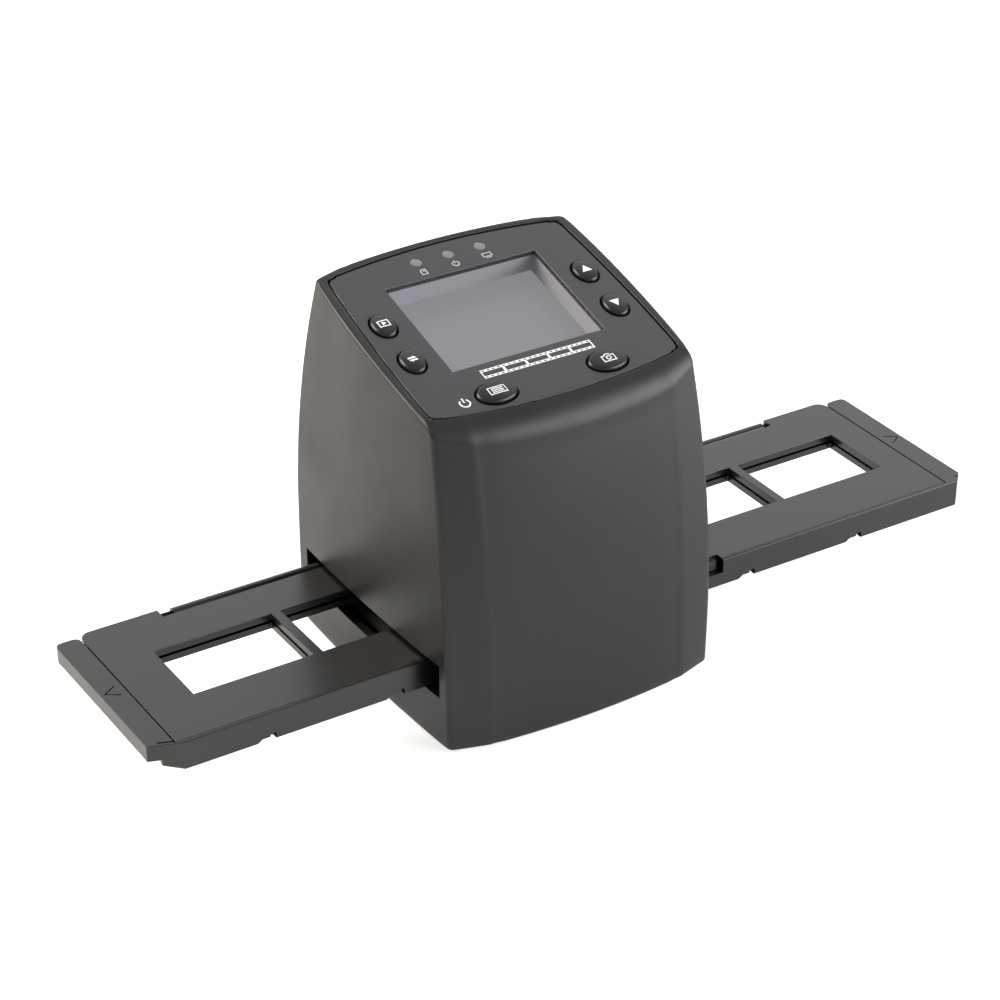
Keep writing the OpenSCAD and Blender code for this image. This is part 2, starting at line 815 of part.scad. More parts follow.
module display_frame() {
    color([0.72, 0.72, 0.74]) on_panel(n = key_n) difference() {
        block(display_w + 2 * (bezel_t + fit_gap), display_h + 2 * (bezel_t + fit_gap), display_t + bezel_t);
        translate([0, 0, -over]) block(display_w + 2 * fit_gap, display_h + 2 * fit_gap, display_t + over);
        block(display_w - 2 * bezel_lip, display_h - 2 * bezel_lip, display_t + over);
    }
}

module display_gasket() {
    bottom_n = key_n + display_t + bezel_t;
    color([0.45, 0.45, 0.47]) on_panel(n = bottom_n)
        ring_block(window_w + 2 * gasket_wall, window_h + 2 * gasket_wall, -panel_t - bottom_n, gasket_wall);
}

// Main board and what it carries
module main_board() {
    color([0.1, 0.32, 0.18]) translate([0, 0, main_z]) difference() {
        translate([0, (main_front + main_back) / 2, 0]) block(main_w, main_back - main_front, main_t);
        at_places(main_post_x, main_post_y) translate([0, 0, -over]) peg(screw_bore, main_t + 2 * over);
    }
}

module main_board_screws() {
    color("silver") translate([0, 0, main_top])
        at_places(main_post_x, main_post_y) screw_down(main_t + screw_deep / 2);
}

module processor_chip() {
    color([0.08, 0.08, 0.08]) translate([processor_at.x, processor_at.y, main_top])
        block(processor_w, processor_w, chip_t);
}

module memory_chip() {
    color([0.08, 0.08, 0.08]) translate([memory_at.x, memory_at.y, main_top])
        block(memory_w, memory_l, chip_t);
}

lead_end_y = main_back - connector_l;
module board_connectors() {
    color([0.9, 0.88, 0.8]) {
        translate([key_ribbon_x, key_ribbon_y, main_top]) block(connector_w, connector_l, connector_h);
        translate([0, sensor_ribbon_y, main_z - connector_h]) block(connector_w, connector_l, connector_h);
        translate([0, sensor_ribbon_y, sensor_z + sensor_t]) block(connector_w, connector_l, connector_h);
        translate([lead_x, lead_end_y, main_z - connector_h]) block(connector_w, connector_l, connector_h);
    }
}

// A socket's mouth lies just inside the back wall, where the socket's top edge meets it
function mouth_y(x, top) = back_wall(abs(x) + card_w / 2, top) - socket_inset;
function usb_mouth_y(top) = back_wall(usb_x + usb_w / 2, top) - socket_inset;

module card_socket() {
    mouth = mouth_y(card_x, main_top + card_h);
    color([0.75, 0.75, 0.77]) translate([card_x, mouth - card_l / 2, main_top]) difference() {
        block(card_w, card_l, card_h);
        translate([0, (card_l - card_slot_l) / 2 + over / 2, (card_h - card_slot_h) / 2])
            block(card_slot_w, card_slot_l + over, card_slot_h);
    }
}

module usb_socket() {
    mouth = usb_mouth_y(main_top + usb_h);
    color([0.75, 0.75, 0.77]) translate([usb_x, mouth - usb_l / 2, main_top]) difference() {
        block(usb_w, usb_l, usb_h);
        difference() {
            translate([0, over / 2 + usb_wall, usb_wall])
                block(usb_w - 2 * usb_wall, usb_l + over, usb_h - 2 * usb_wall);
            translate([0, -(usb_l - usb_tongue_l) / 2, (usb_h - usb_tongue_t) / 2])
                block(usb_tongue_w, usb_tongue_l, usb_tongue_t);
        }
    }
}

// Outline of a strip of thickness t along points, with its corners mitred
function strip_outline(points, t) =
    let (
        last = len(points) - 1,
        dirs = [for (i = [0 : last]) unit(
            (i == last ? unit(points[i] - points[i - 1]) : unit(points[i + 1] - points[i])) +
            (i == 0 ? unit(points[1] - points[0]) : unit(points[i] - points[i - 1])))],
        stretch = [for (i = [0 : last])
            i == 0 || i == last ? 1 : 1 / (dirs[i] * unit(points[i] - points[i - 1]))],
        offs = [for (i = [0 : last]) [-dirs[i].y, dirs[i].x] * t / 2 * stretch[i]]
    )
    concat([for (i = [0 : last]) points[i] + offs[i]], [for (i = [last : -1 : 0]) points[i] - offs[i]]);

// A flat strip of width w centred on x, along points given as [y, z]
module strip_yz(x, w, points, t) {
    translate([x - w / 2, 0, 0]) rotate([90, 0, 90]) linear_extrude(w) polygon(strip_outline(points, t));
}

module key_ribbon() {
    top_z = panel_plane_z(key_ribbon_y, key_under_n - 2 * fit_gap);
    color([0.75, 0.5, 0.2]) strip_yz(key_ribbon_x, ribbon_w,
        [[key_ribbon_y, main_top + connector_h], [key_ribbon_y, top_z]], ribbon_t);
}

module sensor_ribbon() {
    color([0.75, 0.5, 0.2]) strip_yz(0, ribbon_w,
        [[sensor_ribbon_y, sensor_z + sensor_t + connector_h], [sensor_ribbon_y, main_z - connector_h]],
        ribbon_t);
}

light_board_front = gate_h / 2 + diffuser_edge + light_wall;
light_board_back = light_board_front + light_board_tail;
module light_lead() {
    start = [light_board_back - lead_bend, light_floor + light_board_t + lead_t / 2];
    run_y = rail_out + run_gap + lead_bend;
    run_z = main_z - connector_h - 2 * lead_bend;
    color([0.15, 0.15, 0.15]) strip_yz(lead_x, lead_w, [
        start,
        [run_y - lead_bend, start.y],
        [run_y, start.y + lead_bend],
        [run_y, run_z - lead_bend],
        [lead_end_y, run_z + lead_bend / 2],
        [lead_end_y, main_z - connector_h]
    ], lead_t);
}

// Frame over the film: flange, light-tight tower, plate and posts for the boards
frame_foot_w = guide_l;
plate_front = main_post_y[0] - main_post_d / 2;
plate_back = main_post_y[1] + main_post_d / 2;
// The tower's outline, grown by grow and drawn out by sink at both ends
module tower(grow, sink) {
    bottom = frame_top - sink;
    top = deck_top + sink;
    foot_w = tower_foot_w / 2 + grow;
    foot_l = tower_foot_l / 2 + grow;
    head = tower_top_w / 2 + grow;
    intersection() {
        rotate([90, 0, 0]) translate([0, 0, -tower_foot_w]) linear_extrude(2 * tower_foot_w)
            polygon([[-foot_w, bottom], [foot_w, bottom], [head, top], [-head, top]]);
        rotate([90, 0, 90]) translate([0, 0, -tower_foot_w]) linear_extrude(2 * tower_foot_w)
            polygon([[-foot_l, bottom], [foot_l, bottom], [head, top], [-head, top]]);
    }
}

module optical_frame() {
    color([0.13, 0.13, 0.14]) difference() {
        union() {
            translate([0, 0, frame_z]) block(frame_foot_w, 2 * rail_out, frame_flange_t);
            tower(0, 0);
            translate([0, (plate_front + plate_back) / 2, deck_top - tower_plate_t])
                block(plate_w, plate_back - plate_front, tower_plate_t);
            translate([0, 0, deck_top - tower_plate_t])
                block(tower_top_w, tower_top_w, tower_plate_t);
            at_places(main_post_x, main_post_y)
                translate([0, 0, deck_top - tower_plate_t]) peg(main_post_d, main_z - deck_top + tower_plate_t);
            at_corners(sensor_post_x, sensor_post_y)
                translate([0, 0, deck_top - tower_plate_t]) peg(sensor_post_d, sensor_z - deck_top + tower_plate_t);
        }
        intersection() {
            tower(-tower_wall, over);
            translate([0, 0, -tower_plate_t]) block(tower_foot_w, tower_foot_l, deck_top);
        }
        translate([0, 0, frame_z - over]) block(gate_w, gate_h, frame_flange_t + 2 * over);
        translate([0, 0, deck_top - 2 * tower_plate_t])
            peg(lens_tube_d + 2 * run_gap, 3 * tower_plate_t);
        at_places(main_post_x, main_post_y)
            translate([0, 0, main_z - screw_deep]) peg(screw_bore, screw_deep + over);
        at_corners(sensor_post_x, sensor_post_y)
            translate([0, 0, sensor_z - screw_deep + tower_plate_t]) peg(screw_bore, screw_deep);
        at_corners(rail_screw_x, rail_in + rail_w / 2)
            translate([0, 0, frame_z - over]) peg(screw_bore, frame_flange_t + 2 * over);
    }
}

module frame_screws() {
    color("silver") translate([0, 0, frame_top])
        at_corners(rail_screw_x, rail_in + rail_w / 2) screw_down(frame_flange_t + screw_deep / 2);
}

module sensor_board() {
    color([0.1, 0.3, 0.16]) translate([0, 0, sensor_z]) difference() {
        block(sensor_w, sensor_l, sensor_t);
        at_corners(sensor_post_x, sensor_post_y) translate([0, 0, -over]) peg(screw_bore, sensor_t + 2 * over);
    }
}

module sensor_screws() {
    color("silver") translate([0, 0, sensor_z + sensor_t])
        at_corners(sensor_post_x, sensor_post_y) screw_down(sensor_t + screw_deep / 2);
}

module image_sensor() {
    color([0.2, 0.22, 0.3]) translate([0, 0, sensor_z - chip_h]) block(chip_w, chip_l, chip_h);
}

module lens_holder() {
    color([0.15, 0.15, 0.16]) difference() {
        union() {
            translate([0, 0, lens_base_z]) block(lens_base_w, lens_base_w, lens_base_h);
            translate([0, 0, lens_tube_z]) peg(lens_tube_d, lens_tube_l);
        }
        translate([0, 0, sensor_z - lens_cavity_h])
            block(lens_cavity_w, lens_cavity_w, lens_cavity_h + over);
        translate([0, 0, lens_tube_z - over]) peg(barrel_d + 2 * fit_gap, lens_tube_l + lens_base_h);
    }
}

function lens_z(i) = barrel_z + barrel_floor + i * lens_step;
module lens_barrel() {
    color([0.1, 0.1, 0.1]) difference() {
        union() {
            translate([0, 0, barrel_z]) peg(barrel_d, barrel_l);
            translate([0, 0, barrel_z]) peg(barrel_flange_d, barrel_flange_t);
        }
        translate([0, 0, barrel_z - over]) peg(barrel_sight_d, barrel_l + 2 * over);
        translate([0, 0, lens_z(0)]) peg(barrel_d - 2 * barrel_wall, barrel_l);
        for (i = [0 : barrel_knurls - 1])
            rotate(360 * i / barrel_knurls)
                translate([barrel_flange_d / 2, 0, barrel_z - over])
                    peg(2 * knurl_deep, barrel_flange_t + over);
    }
}

// Lens elements: two bulging faces on a straight edge
module lens_glass() {
    d = barrel_d - 2 * barrel_wall - 2 * fit_gap;
    rise = lens_r - sqrt(lens_r * lens_r - d * d / 4);
    color([0.7, 0.8, 0.85, 0.5]) for (i = [0 : lens_count - 1])
        translate([0, 0, lens_z(i) + fit_gap]) intersection() {
            peg(d, lens_edge_t + rise);
            translate([0, 0, lens_edge_t + rise - lens_r]) sphere(r = lens_r, $fn = round_fn);
        }
}

module infrared_filter() {
    color([0.6, 0.75, 0.8, 0.5]) translate([0, 0, sensor_z - lens_cavity_h])
        block(filter_w, filter_w, filter_t);
}

// Channel for the film holder: a bed between two rails, with a plinth that carries the gate
// up into the holder's hollow underside
box_w = gate_w + 2 * (diffuser_edge + light_wall);
box_l = gate_h + 2 * (diffuser_edge + light_wall);
plinth_l = holder_w - 2 * skirt_w - 2 * gate_side_gap;
module tray_guide() {
    color([0.16, 0.16, 0.17]) difference() {
        union() {
            translate([0, 0, bed_z]) block(guide_l, 2 * rail_out, bed_t);
            for (sy = [-1, 1])
                translate([0, sy * (rail_in + rail_w / 2), bed_z]) block(guide_l, rail_w, frame_z - bed_z);
            translate([0, 0, bed_z]) block(guide_l - 2 * lead_in, plinth_l, gate_top - bed_z);
            at_corners(leg_x, leg_y) translate([0, 0, base_top]) peg(leg_d, bed_z - base_top + bed_t / 2);
        }
        translate([0, 0, bed_z - over]) block(gate_w, gate_h, gate_top - bed_z + 2 * over);
        translate([0, 0, bed_z - over])
            block(box_w + 2 * box_gap, box_l + 2 * box_gap, gate_top - gate_roof - bed_z + over);
        translate([spring_x, -spring_y, bed_top - spring_pocket])
            block(spring_l + 2 * spring_pocket_gap, spring_w + spring_pocket_gap, spring_pocket + over);
        at_corners(leg_x, leg_y)
            translate([0, 0, base_top - over]) peg(screw_bore, screw_deep + over);
        at_corners(rail_screw_x, rail_in + rail_w / 2)
            translate([0, 0, frame_z - screw_deep]) peg(screw_bore, screw_deep + over);
        for (sx = [-1, 1]) for (sy = [-1, 1])
            translate([sx * guide_l / 2, sy * rail_in, bed_top])
                rotate(45) block(lead_in, lead_in, frame_z - bed_top + over);
    }
}

module guide_screws() {
    color("silver") at_corners(leg_x, leg_y)
        translate([0, 0, foot_proud + screw_head_h]) screw(base_t + screw_deep / 2);
}

// A leaf that lies in the bed and snaps into the holder's notches with its rounded bump
module detent_spring() {
    leaf_z = bed_top - spring_pocket;
    bump_z = bed_top + run_gap / 3;
    color([0.78, 0.78, 0.8]) {
        translate([spring_x, -spring_y, leaf_z]) block(spring_l, spring_w, spring_t);
        intersection() {
            translate([spring_x, -spring_y - spring_w / 2, bump_z - spring_bump_r])
                rotate([-90, 0, 0]) peg(2 * spring_bump_r, spring_w);
            translate([spring_x, -spring_y, leaf_z]) block(spring_l, spring_w, holder_t);
        }
    }
}

// Backlight under the film
module light_box() {
    color([0.95, 0.95, 0.93]) translate([0, 0, light_floor + light_board_t])
        ring_block(box_w, box_l, light_top - light_floor - light_board_t, light_wall);
}

module light_board() {
    color([0.9, 0.9, 0.88]) {
        translate([0, (light_board_back - light_board_front) / 2, light_floor])
            block(box_w, light_board_front + light_board_back, light_board_t);
        at_corners(light_leg_share * gate_w, light_leg_share * gate_h) translate([0, 0, base_top]) peg(leg_d / 2, light_stand);
    }
}

module light_leds() {
    color([0.95, 0.9, 0.6])
        for (i = [0 : light_columns - 1]) for (j = [0 : light_rows - 1])
            translate([
                (i - (light_columns - 1) / 2) * light_led_pitch,
                (j - (light_rows - 1) / 2) * light_led_pitch,
                light_floor + light_board_t
            ]) block(light_led_w, light_led_l, light_led_h);
}

module light_diffuser() {
    color([0.97, 0.97, 0.97]) translate([0, 0, light_top]) block(box_w, box_l, diffuser_t - fit_gap);
}

// Film holder, drawn from the middle of its windows with its top face at z = 0
module on_holder() { translate([holder_x, 0, holder_top]) children(); }
module at_frames() {
    for (i = [0 : frame_count - 1])
        translate([(i - (frame_count - 1) / 2) * frame_pitch, 0, 0]) children();
}

holder_front = -holder_w / 2;
holder_back = holder_w / 2;
lid_left = -holder_left + end_block + lid_end_gap;
lid_right = holder_right - end_block - lid_end_gap;
lid_front = holder_front + near_rim + lid_inset;
lid_back = holder_back - lid_inset;
seat_z = -(lid_t + film_gap);
rail_end = rail_l / 2;
pin_y = holder_back - rail_r;
lid_rear = holder_back - 2 * rail_r - rail_gap;
ear_start = [rail_end + ear_gaps[0], rail_end + ear_gaps[1]];

// The keyed near left corner's edge at the place x
function key_y(x) = holder_front + key_chamfer_y * (1 - (x + holder_left) / key_chamfer_x);

// Outline of the holder: keyed corner at the near left, and a nick at each end block's far side
function holder_outline() = concat(
    [[-holder_left + key_chamfer_x, holder_front]],
    [[holder_right - near_chamfer, holder_front], [holder_right, holder_front + near_chamfer]],
    soft_corner([holder_right, block_back], [holder_right, 0], [0, block_back],
        block_corner, corner_steps),
    soft_corner([holder_right - end_block, block_back], [holder_right, block_back],
        [holder_right - end_block, 0], block_notch, corner_steps),
    soft_corner([lid_right, holder_back], [lid_right, 0], [0, holder_back], ear_corner, corner_steps),
    soft_corner([lid_left, holder_back], [0, holder_back], [lid_left, 0], ear_corner, corner_steps),
    soft_corner([-holder_left + end_block, block_back], [-holder_left + end_block, 0],
        [-holder_left, block_back], block_notch, corner_steps),
    soft_corner([-holder_left, block_back], [0, block_back], [-holder_left, 0],
        block_corner, corner_steps),
    [[-holder_left, holder_front + key_chamfer_y]]
);

function lid_outline() = concat(
    [[lid_left, lid_front], [lid_right, lid_front]],
    soft_corner([lid_right, lid_back], [lid_right, 0], [0, lid_back], ear_corner, corner_steps),
    [[ear_start[1], lid_back], [ear_start[1], lid_rear], [-ear_start[0], lid_rear], [-ear_start[0], lid_back]],
    soft_corner([lid_left, lid_back], [0, lid_back], [lid_left, 0], ear_corner, corner_steps)
);

module chevron(way) {
    for (turn = [-chevron_spread, chevron_spread])
        rotate(turn) translate([-way * chevron_l / 2, 0, -chevron_deep])
            block(chevron_l, chevron_w, chevron_deep + over);
}

// A rod along X from x0 to x1, at the lid's hinge line
module hinge_rod(x0, x1, r) {
    translate([x0, pin_y, -rail_r]) rotate([0, 90, 0]) cylinder(r = r, h = x1 - x0, $fn = round_fn);
}

module soft_block(w, l, h, r) {
    block(w, l - 2 * r, h);
    block(w - 2 * r, l, h);
    at_corners(w / 2 - r, l / 2 - r) cylinder(r = r, h = h, $fn = small_fn);
}

module holder_base() {
    color([0.34, 0.34, 0.35]) on_holder() difference() {
        union() {
            translate([0, 0, -holder_t]) linear_extrude(holder_t + seat_z) polygon(holder_outline());
            intersection() {
                translate([0, 0, -holder_t]) linear_extrude(holder_t) polygon(holder_outline());
                union() {
                    translate([-holder_left, 0, -holder_t]) block(2 * end_block, 2 * holder_w, 2 * holder_t);
                    translate([holder_right, 0, -holder_t]) block(2 * end_block, 2 * holder_w, 2 * holder_t);
                    translate([0, holder_front, -holder_t]) block(2 * holder_left, 2 * near_rim, 2 * holder_t);
                }
            }
            translate([0, pin_y, seat_z - over]) block(rail_l, 2 * rail_web_share * rail_r, over - seat_z - rail_r);
            hinge_rod(-rail_end, rail_end, rail_r);
        }
        at_frames() translate([0, 0, -holder_t - over])
            soft_block(window_x - 2 * base_window_ledge, window_y - 2 * base_window_ledge,
                holder_t + over, base_window_corner);
        // Shallow groove that the film lies in
        translate([0, 0, seat_z - film_groove])
            block(frame_count * frame_pitch, film_w, film_groove + over);
        // Hollow between the two skirts, open at both ends
        translate([0, 0, -holder_t - over])
            block(2 * (holder_left + over), holder_w - 2 * skirt_w, holder_t + seat_z - floor_t + over);
        translate([0, 0, -holder_t - over]) linear_extrude(holder_t - lip_t + over) polygon([
            [-holder_left - over, holder_front - over],
            [-holder_left + lip_l + lip_chamfer + over, holder_front - over],
            [-holder_left + lip_l, holder_front + lip_chamfer],
            [-holder_left + lip_l, holder_back + over],
            [-holder_left - over, holder_back + over]
        ]);
        at_frames() translate([detent_shift, holder_front, -holder_t]) detent_notch();
        for (sx = [-1, 1])
            translate([sx * latch_x, holder_front, -latch_drop])
                block(latch_w, 2 * latch_deep, latch_drop + over);
        translate([-holder_left + (end_block - chevron_l) / 2, 0, 0]) chevron(-1);
        translate([holder_right - (end_block - chevron_l) / 2, 0, 0]) chevron(1);
        translate([lid_left - slit_l / 2, key_y(lid_left - slit_l / 2) + slit_in, -slit_deep])
            rotate(-atan(key_chamfer_y / key_chamfer_x)) block(slit_l, slit_w, slit_deep + over);
        translate([holder_right - near_chamfer / 2, holder_front + near_chamfer / 2, -slit_drop])
            rotate(-45) block(slit_drop, slit_w, slit_drop + over);
        translate([-holder_left + key_chamfer_x, holder_front, 0]) rotate([45, 0, 0])
            translate([0, -near_edge_cut / 2, -near_edge_cut / 2])
                cube([holder_left - key_chamfer_x + holder_right - near_chamfer, near_edge_cut, near_edge_cut]);
        for (sx = [-1, 1]) on_side(sx) hinge_rod(rail_end - pin_in, ear_start[0], pin_d / 2 + fit_gap);
        on_side(-1) hinge_rod(ear_start[0] - run_gap, -lid_left, rail_r + ear_relief);
        hinge_rod(ear_start[1] - run_gap, lid_right, rail_r + ear_relief);
    }
}
module on_side(side) { if (side < 0) mirror([1, 0, 0]) children(); else children(); }

// A notch in the near skirt for the snap spring, with a round pit in the skirt's face beside it
module detent_notch() {
    rotate([90, 0, 0]) translate([0, 0, -detent_in]) linear_extrude(detent_in + over)
        polygon([
            [-detent_w / 2 - detent_run, -over], [-detent_w / 2 - detent_run, 0],
            [-detent_w / 2, detent_deep], [detent_w / 2, detent_deep],
            [detent_w / 2 + detent_run / 2, 0], [detent_w / 2 + detent_run / 2, -over]
        ]);
    translate([detent_w / 2, pit_deep, detent_deep])
        rotate([90, 0, 0]) cylinder(r = pit_r, h = pit_deep + over, $fn = small_fn);
}

module holder_lid() {
    color([0.37, 0.37, 0.38]) on_holder() difference() {
        union() {
            difference() {
                translate([0, 0, -lid_t]) linear_extrude(lid_t) polygon(lid_outline());
                for (sx = [-1, 1])
                    translate([sx * latch_x, holder_front, -lid_t - over])
                        block(latch_w, 2 * latch_deep, lid_t + 2 * over);
            }
            for (sx = [-1, 1])
                translate([sx * latch_x, holder_front + latch_deep - latch_tongue_t / 2, -lid_t - latch_tongue_l])
                    block(latch_tongue_w, latch_tongue_t, latch_tongue_l + lid_t / 2);
            on_side(-1) hinge_rod(ear_start[0], ear_start[0] + knuckle_l, knuckle_r);
            hinge_rod(ear_start[1], ear_start[1] + knuckle_l, knuckle_r);
        }
        at_frames() translate([0, 0, -lid_t - over]) block(window_x, window_y, lid_t + 2 * over);
        for (sx = [-1, 1]) on_side(sx)
            hinge_rod(rail_end, rail_end - pin_in + pin_l + run_gap, pin_d / 2 + pin_gap);
    }
}

module hinge_pins() {
    color("silver") on_holder() for (sx = [-1, 1]) on_side(sx)
        hinge_rod(rail_end - pin_in, rail_end - pin_in + pin_l, pin_d / 2);
}

upper_housing();
base_plate();
rubber_pad();
base_screws();
control_panel();
window_lens();
indicator_lights();
button("play");  // play_button
button("flip");  // flip_button
button("up");  // up_button
button("down");  // down_button
button("menu");  // menu_button
button("capture");  // capture_button
plunger("play");  // play_plunger
plunger("flip");  // flip_plunger
plunger("up");  // up_plunger
plunger("down");  // down_plunger
plunger("menu");  // menu_plunger
plunger("capture");  // capture_plunger
key_switches();
key_board();
key_board_screws();
indicator_leds();
display_module();
display_frame();
display_gasket();
main_board();
main_board_screws();
processor_chip();
memory_chip();
board_connectors();
card_socket();
usb_socket();
key_ribbon();
sensor_ribbon();
light_lead();
optical_frame();
frame_screws();
sensor_board();
sensor_screws();
image_sensor();
lens_holder();
lens_barrel();
lens_glass();
infrared_filter();
tray_guide();
guide_screws();
detent_spring();
light_box();
light_board();
light_leds();
light_diffuser();
holder_base();
holder_lid();
hinge_pins();
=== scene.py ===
"""Film negative scanner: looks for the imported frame.

A bowed black housing with a tilted control panel, and a hinged film holder that slides through it.
Sizes are in millimetres in the part's own frame, and are turned to metres where a mesh is made.
X runs along the film holder, +Y points to the back and +Z up.
"""

import json
import logging
import math
from collections.abc import Iterator, Sequence
from contextlib import contextmanager
from dataclasses import dataclass
from enum import Enum

import bmesh
import bpy
from mathutils import Euler, Matrix, Vector


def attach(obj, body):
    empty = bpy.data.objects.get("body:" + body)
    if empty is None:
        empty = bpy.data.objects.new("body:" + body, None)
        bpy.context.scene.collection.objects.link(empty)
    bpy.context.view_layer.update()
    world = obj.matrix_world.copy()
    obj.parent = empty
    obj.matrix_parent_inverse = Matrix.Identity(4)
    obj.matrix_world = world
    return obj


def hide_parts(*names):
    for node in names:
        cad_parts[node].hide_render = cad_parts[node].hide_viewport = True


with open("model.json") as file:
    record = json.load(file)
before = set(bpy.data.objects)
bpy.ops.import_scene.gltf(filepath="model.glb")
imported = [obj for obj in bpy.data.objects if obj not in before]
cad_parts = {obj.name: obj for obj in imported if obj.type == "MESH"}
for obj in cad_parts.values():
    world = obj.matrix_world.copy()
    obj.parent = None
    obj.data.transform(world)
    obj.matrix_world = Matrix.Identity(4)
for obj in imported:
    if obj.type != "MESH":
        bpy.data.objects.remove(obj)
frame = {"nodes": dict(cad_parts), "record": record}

LOG = logging.getLogger("film_scanner")
MM = 0.001
FULL_TURN = 2 * math.pi
QUARTER_TURN = math.pi / 2

Point = tuple[float, float]
Place = tuple[float, float, float]
Outline = list[Point]
Ring = list[Vector]
Piece = bpy.types.Object


class Body(Enum):
    """Bodies of the frame that pieces ride on."""

    SCANNER = "scanner"
    TRAY = "film_tray"
    LID = "film_lid"
    PLAY = "play_key"
    FLIP = "flip_key"
    UP = "up_key"
    DOWN = "down_key"
    MENU = "menu_key"
    CAPTURE = "capture_key"


# ---- flat geometry


def mix(a: float, b: float, t: float) -> float:
    """Return the value that lies the share t on the way from a to b."""
    return a + (b - a) * t


def blend_points(a: Point, b: Point, t: float) -> Point:
    """Return the point that lies the share t on the way from a to b."""
    return mix(a[0], b[0], t), mix(a[1], b[1], t)


def towards(start: Point, goal: Point, length: float) -> Point:
    """Return the point at a length from start, on the way to goal."""
    distance = math.dist(start, goal)
    return blend_points(start, goal, length / distance)


def soft_corner(corner: Point, before: Point, after: Point, reach: float, steps: int) -> Outline:
    """Round a corner of an outline.

    Args:
        corner: The sharp corner.
        before: The corner that comes before it.
        after: The corner that comes after it.
        reach: How far from the corner the rounding starts.
        steps: Number of straight pieces in the rounding.

    Returns:
        The points of the rounding, in order.
    """
    start, end = towards(corner, before, reach), towards(corner, after, reach)
    points = []
    for t in (i / steps for i in range(steps + 1)):
        points.append(blend_points(blend_points(start, corner, t), blend_points(corner, end, t), t))
    return points


def bowed(start: Point, end: Point, rise: float, steps: int) -> Outline:
    """Find the points between two corners whose side bows to the right of the way between them.

    Args:
        start: The first corner.
        end: The second corner.
        rise: How far the side bows.
        steps: Number of straight pieces in the side.

    Returns:
        The points, without the corners.
    """
    across = (end[1] - start[1], start[0] - end[0])
    length = math.hypot(*across)
    points = []
    for i in range(1, steps):
        t = i / steps
        lift = rise * 4 * t * (1 - t) / length
        x, y = blend_points(start, end, t)
        points.append((x + across[0] * lift, y + across[1] * lift))
    return points


@dataclass(frozen=True)
class Corner:
    """A rounded corner of an outline, and how far the side after it bows out."""

    at: Point
    reach: float
    steps: int
    bow: float = 0.0


def soft_outline(corners: Sequence[Corner], side_steps: int) -> Outline:
    """Draw an outline round its corners.

    Args:
        corners: The corners, in order.
        side_steps: Number of straight pieces in each bowed side.

    Returns:
        The outline's points.
    """
    points = []
    for i, corner in enumerate(corners):
        before, after = corners[i - 1].at, corners[(i + 1) % len(corners)].at
        points += soft_corner(corner.at, before, after, corner.reach, corner.steps)
        if corner.bow:
            points += bowed(corner.at, after, corner.bow, side_steps)
    return points


def round_outline(width: float, height: float, at: Point = (0, 0), steps: int = 64) -> Outline:
    """Return an oval's outline round the point at."""
    angles = (FULL_TURN * i / steps for i in range(steps))
    return [(at[0] + width / 2 * math.cos(a), at[1] + height / 2 * math.sin(a)) for a in angles]


def box_outline(width: float, height: float, at: Point = (0, 0)) -> Outline:
    """Return a rectangle's outline round the point at."""
    w, h = width / 2, height / 2
    return [(at[0] + x, at[1] + y) for x, y in ((-w, -h), (w, -h), (w, h), (-w, h))]


# ---- modelling


def clear_selection() -> None:
    """Leave edit mode and deselect every object."""
    active = bpy.context.view_layer.objects.active
    if active and active.mode != "OBJECT":
        bpy.ops.object.mode_set(mode="OBJECT")
    bpy.ops.object.select_all(action="DESELECT")


def pick(*pieces: Piece) -> None:
    """Select pieces alone and make the first of them active.

    Args:
        pieces: The pieces.
    """
    clear_selection()
    for piece in pieces:
        piece.select_set(True)
    bpy.context.view_layer.objects.active = pieces[0]


@contextmanager
def editing(piece: Piece) -> Iterator[None]:
    """Open a piece in edit mode with all of it selected, and close it again.

    Args:
        piece: The piece.

    Yields:
        Nothing, while the piece is open.
    """
    pick(piece)
    bpy.ops.object.mode_set(mode="EDIT")
    bpy.ops.mesh.select_all(action="SELECT")
    yield
    bpy.ops.object.mode_set(mode="OBJECT")


def face_outwards(piece: Piece, gap: float = 0.002) -> None:
    """Merge a piece's doubled vertices and point its faces outwards.

    Args:
        piece: The piece.
        gap: Vertices nearer than this are merged.
    """
    with editing(piece):
        bpy.ops.mesh.remove_doubles(threshold=gap * MM)
        bpy.ops.mesh.normals_make_consistent(inside=False)


def shade(piece: Piece, degrees: float, flat: bool = False) -> None:
    """Shade the piece smooth, with its edges above the angle kept sharp.

    Args:
        piece: The piece.
        degrees: The angle above which an edge stays sharp.
        flat: Whether its large faces keep their own flat shading, with rounded edges between.
    """
    pick(piece)
    bpy.ops.object.shade_smooth_by_angle(angle=math.radians(degrees))
    if flat:
        step = piece.modifiers.new("flat_faces", "WEIGHTED_NORMAL")
        step.keep_sharp, step.weight = True, 100
        bpy.ops.object.modifier_apply(modifier=step.name)


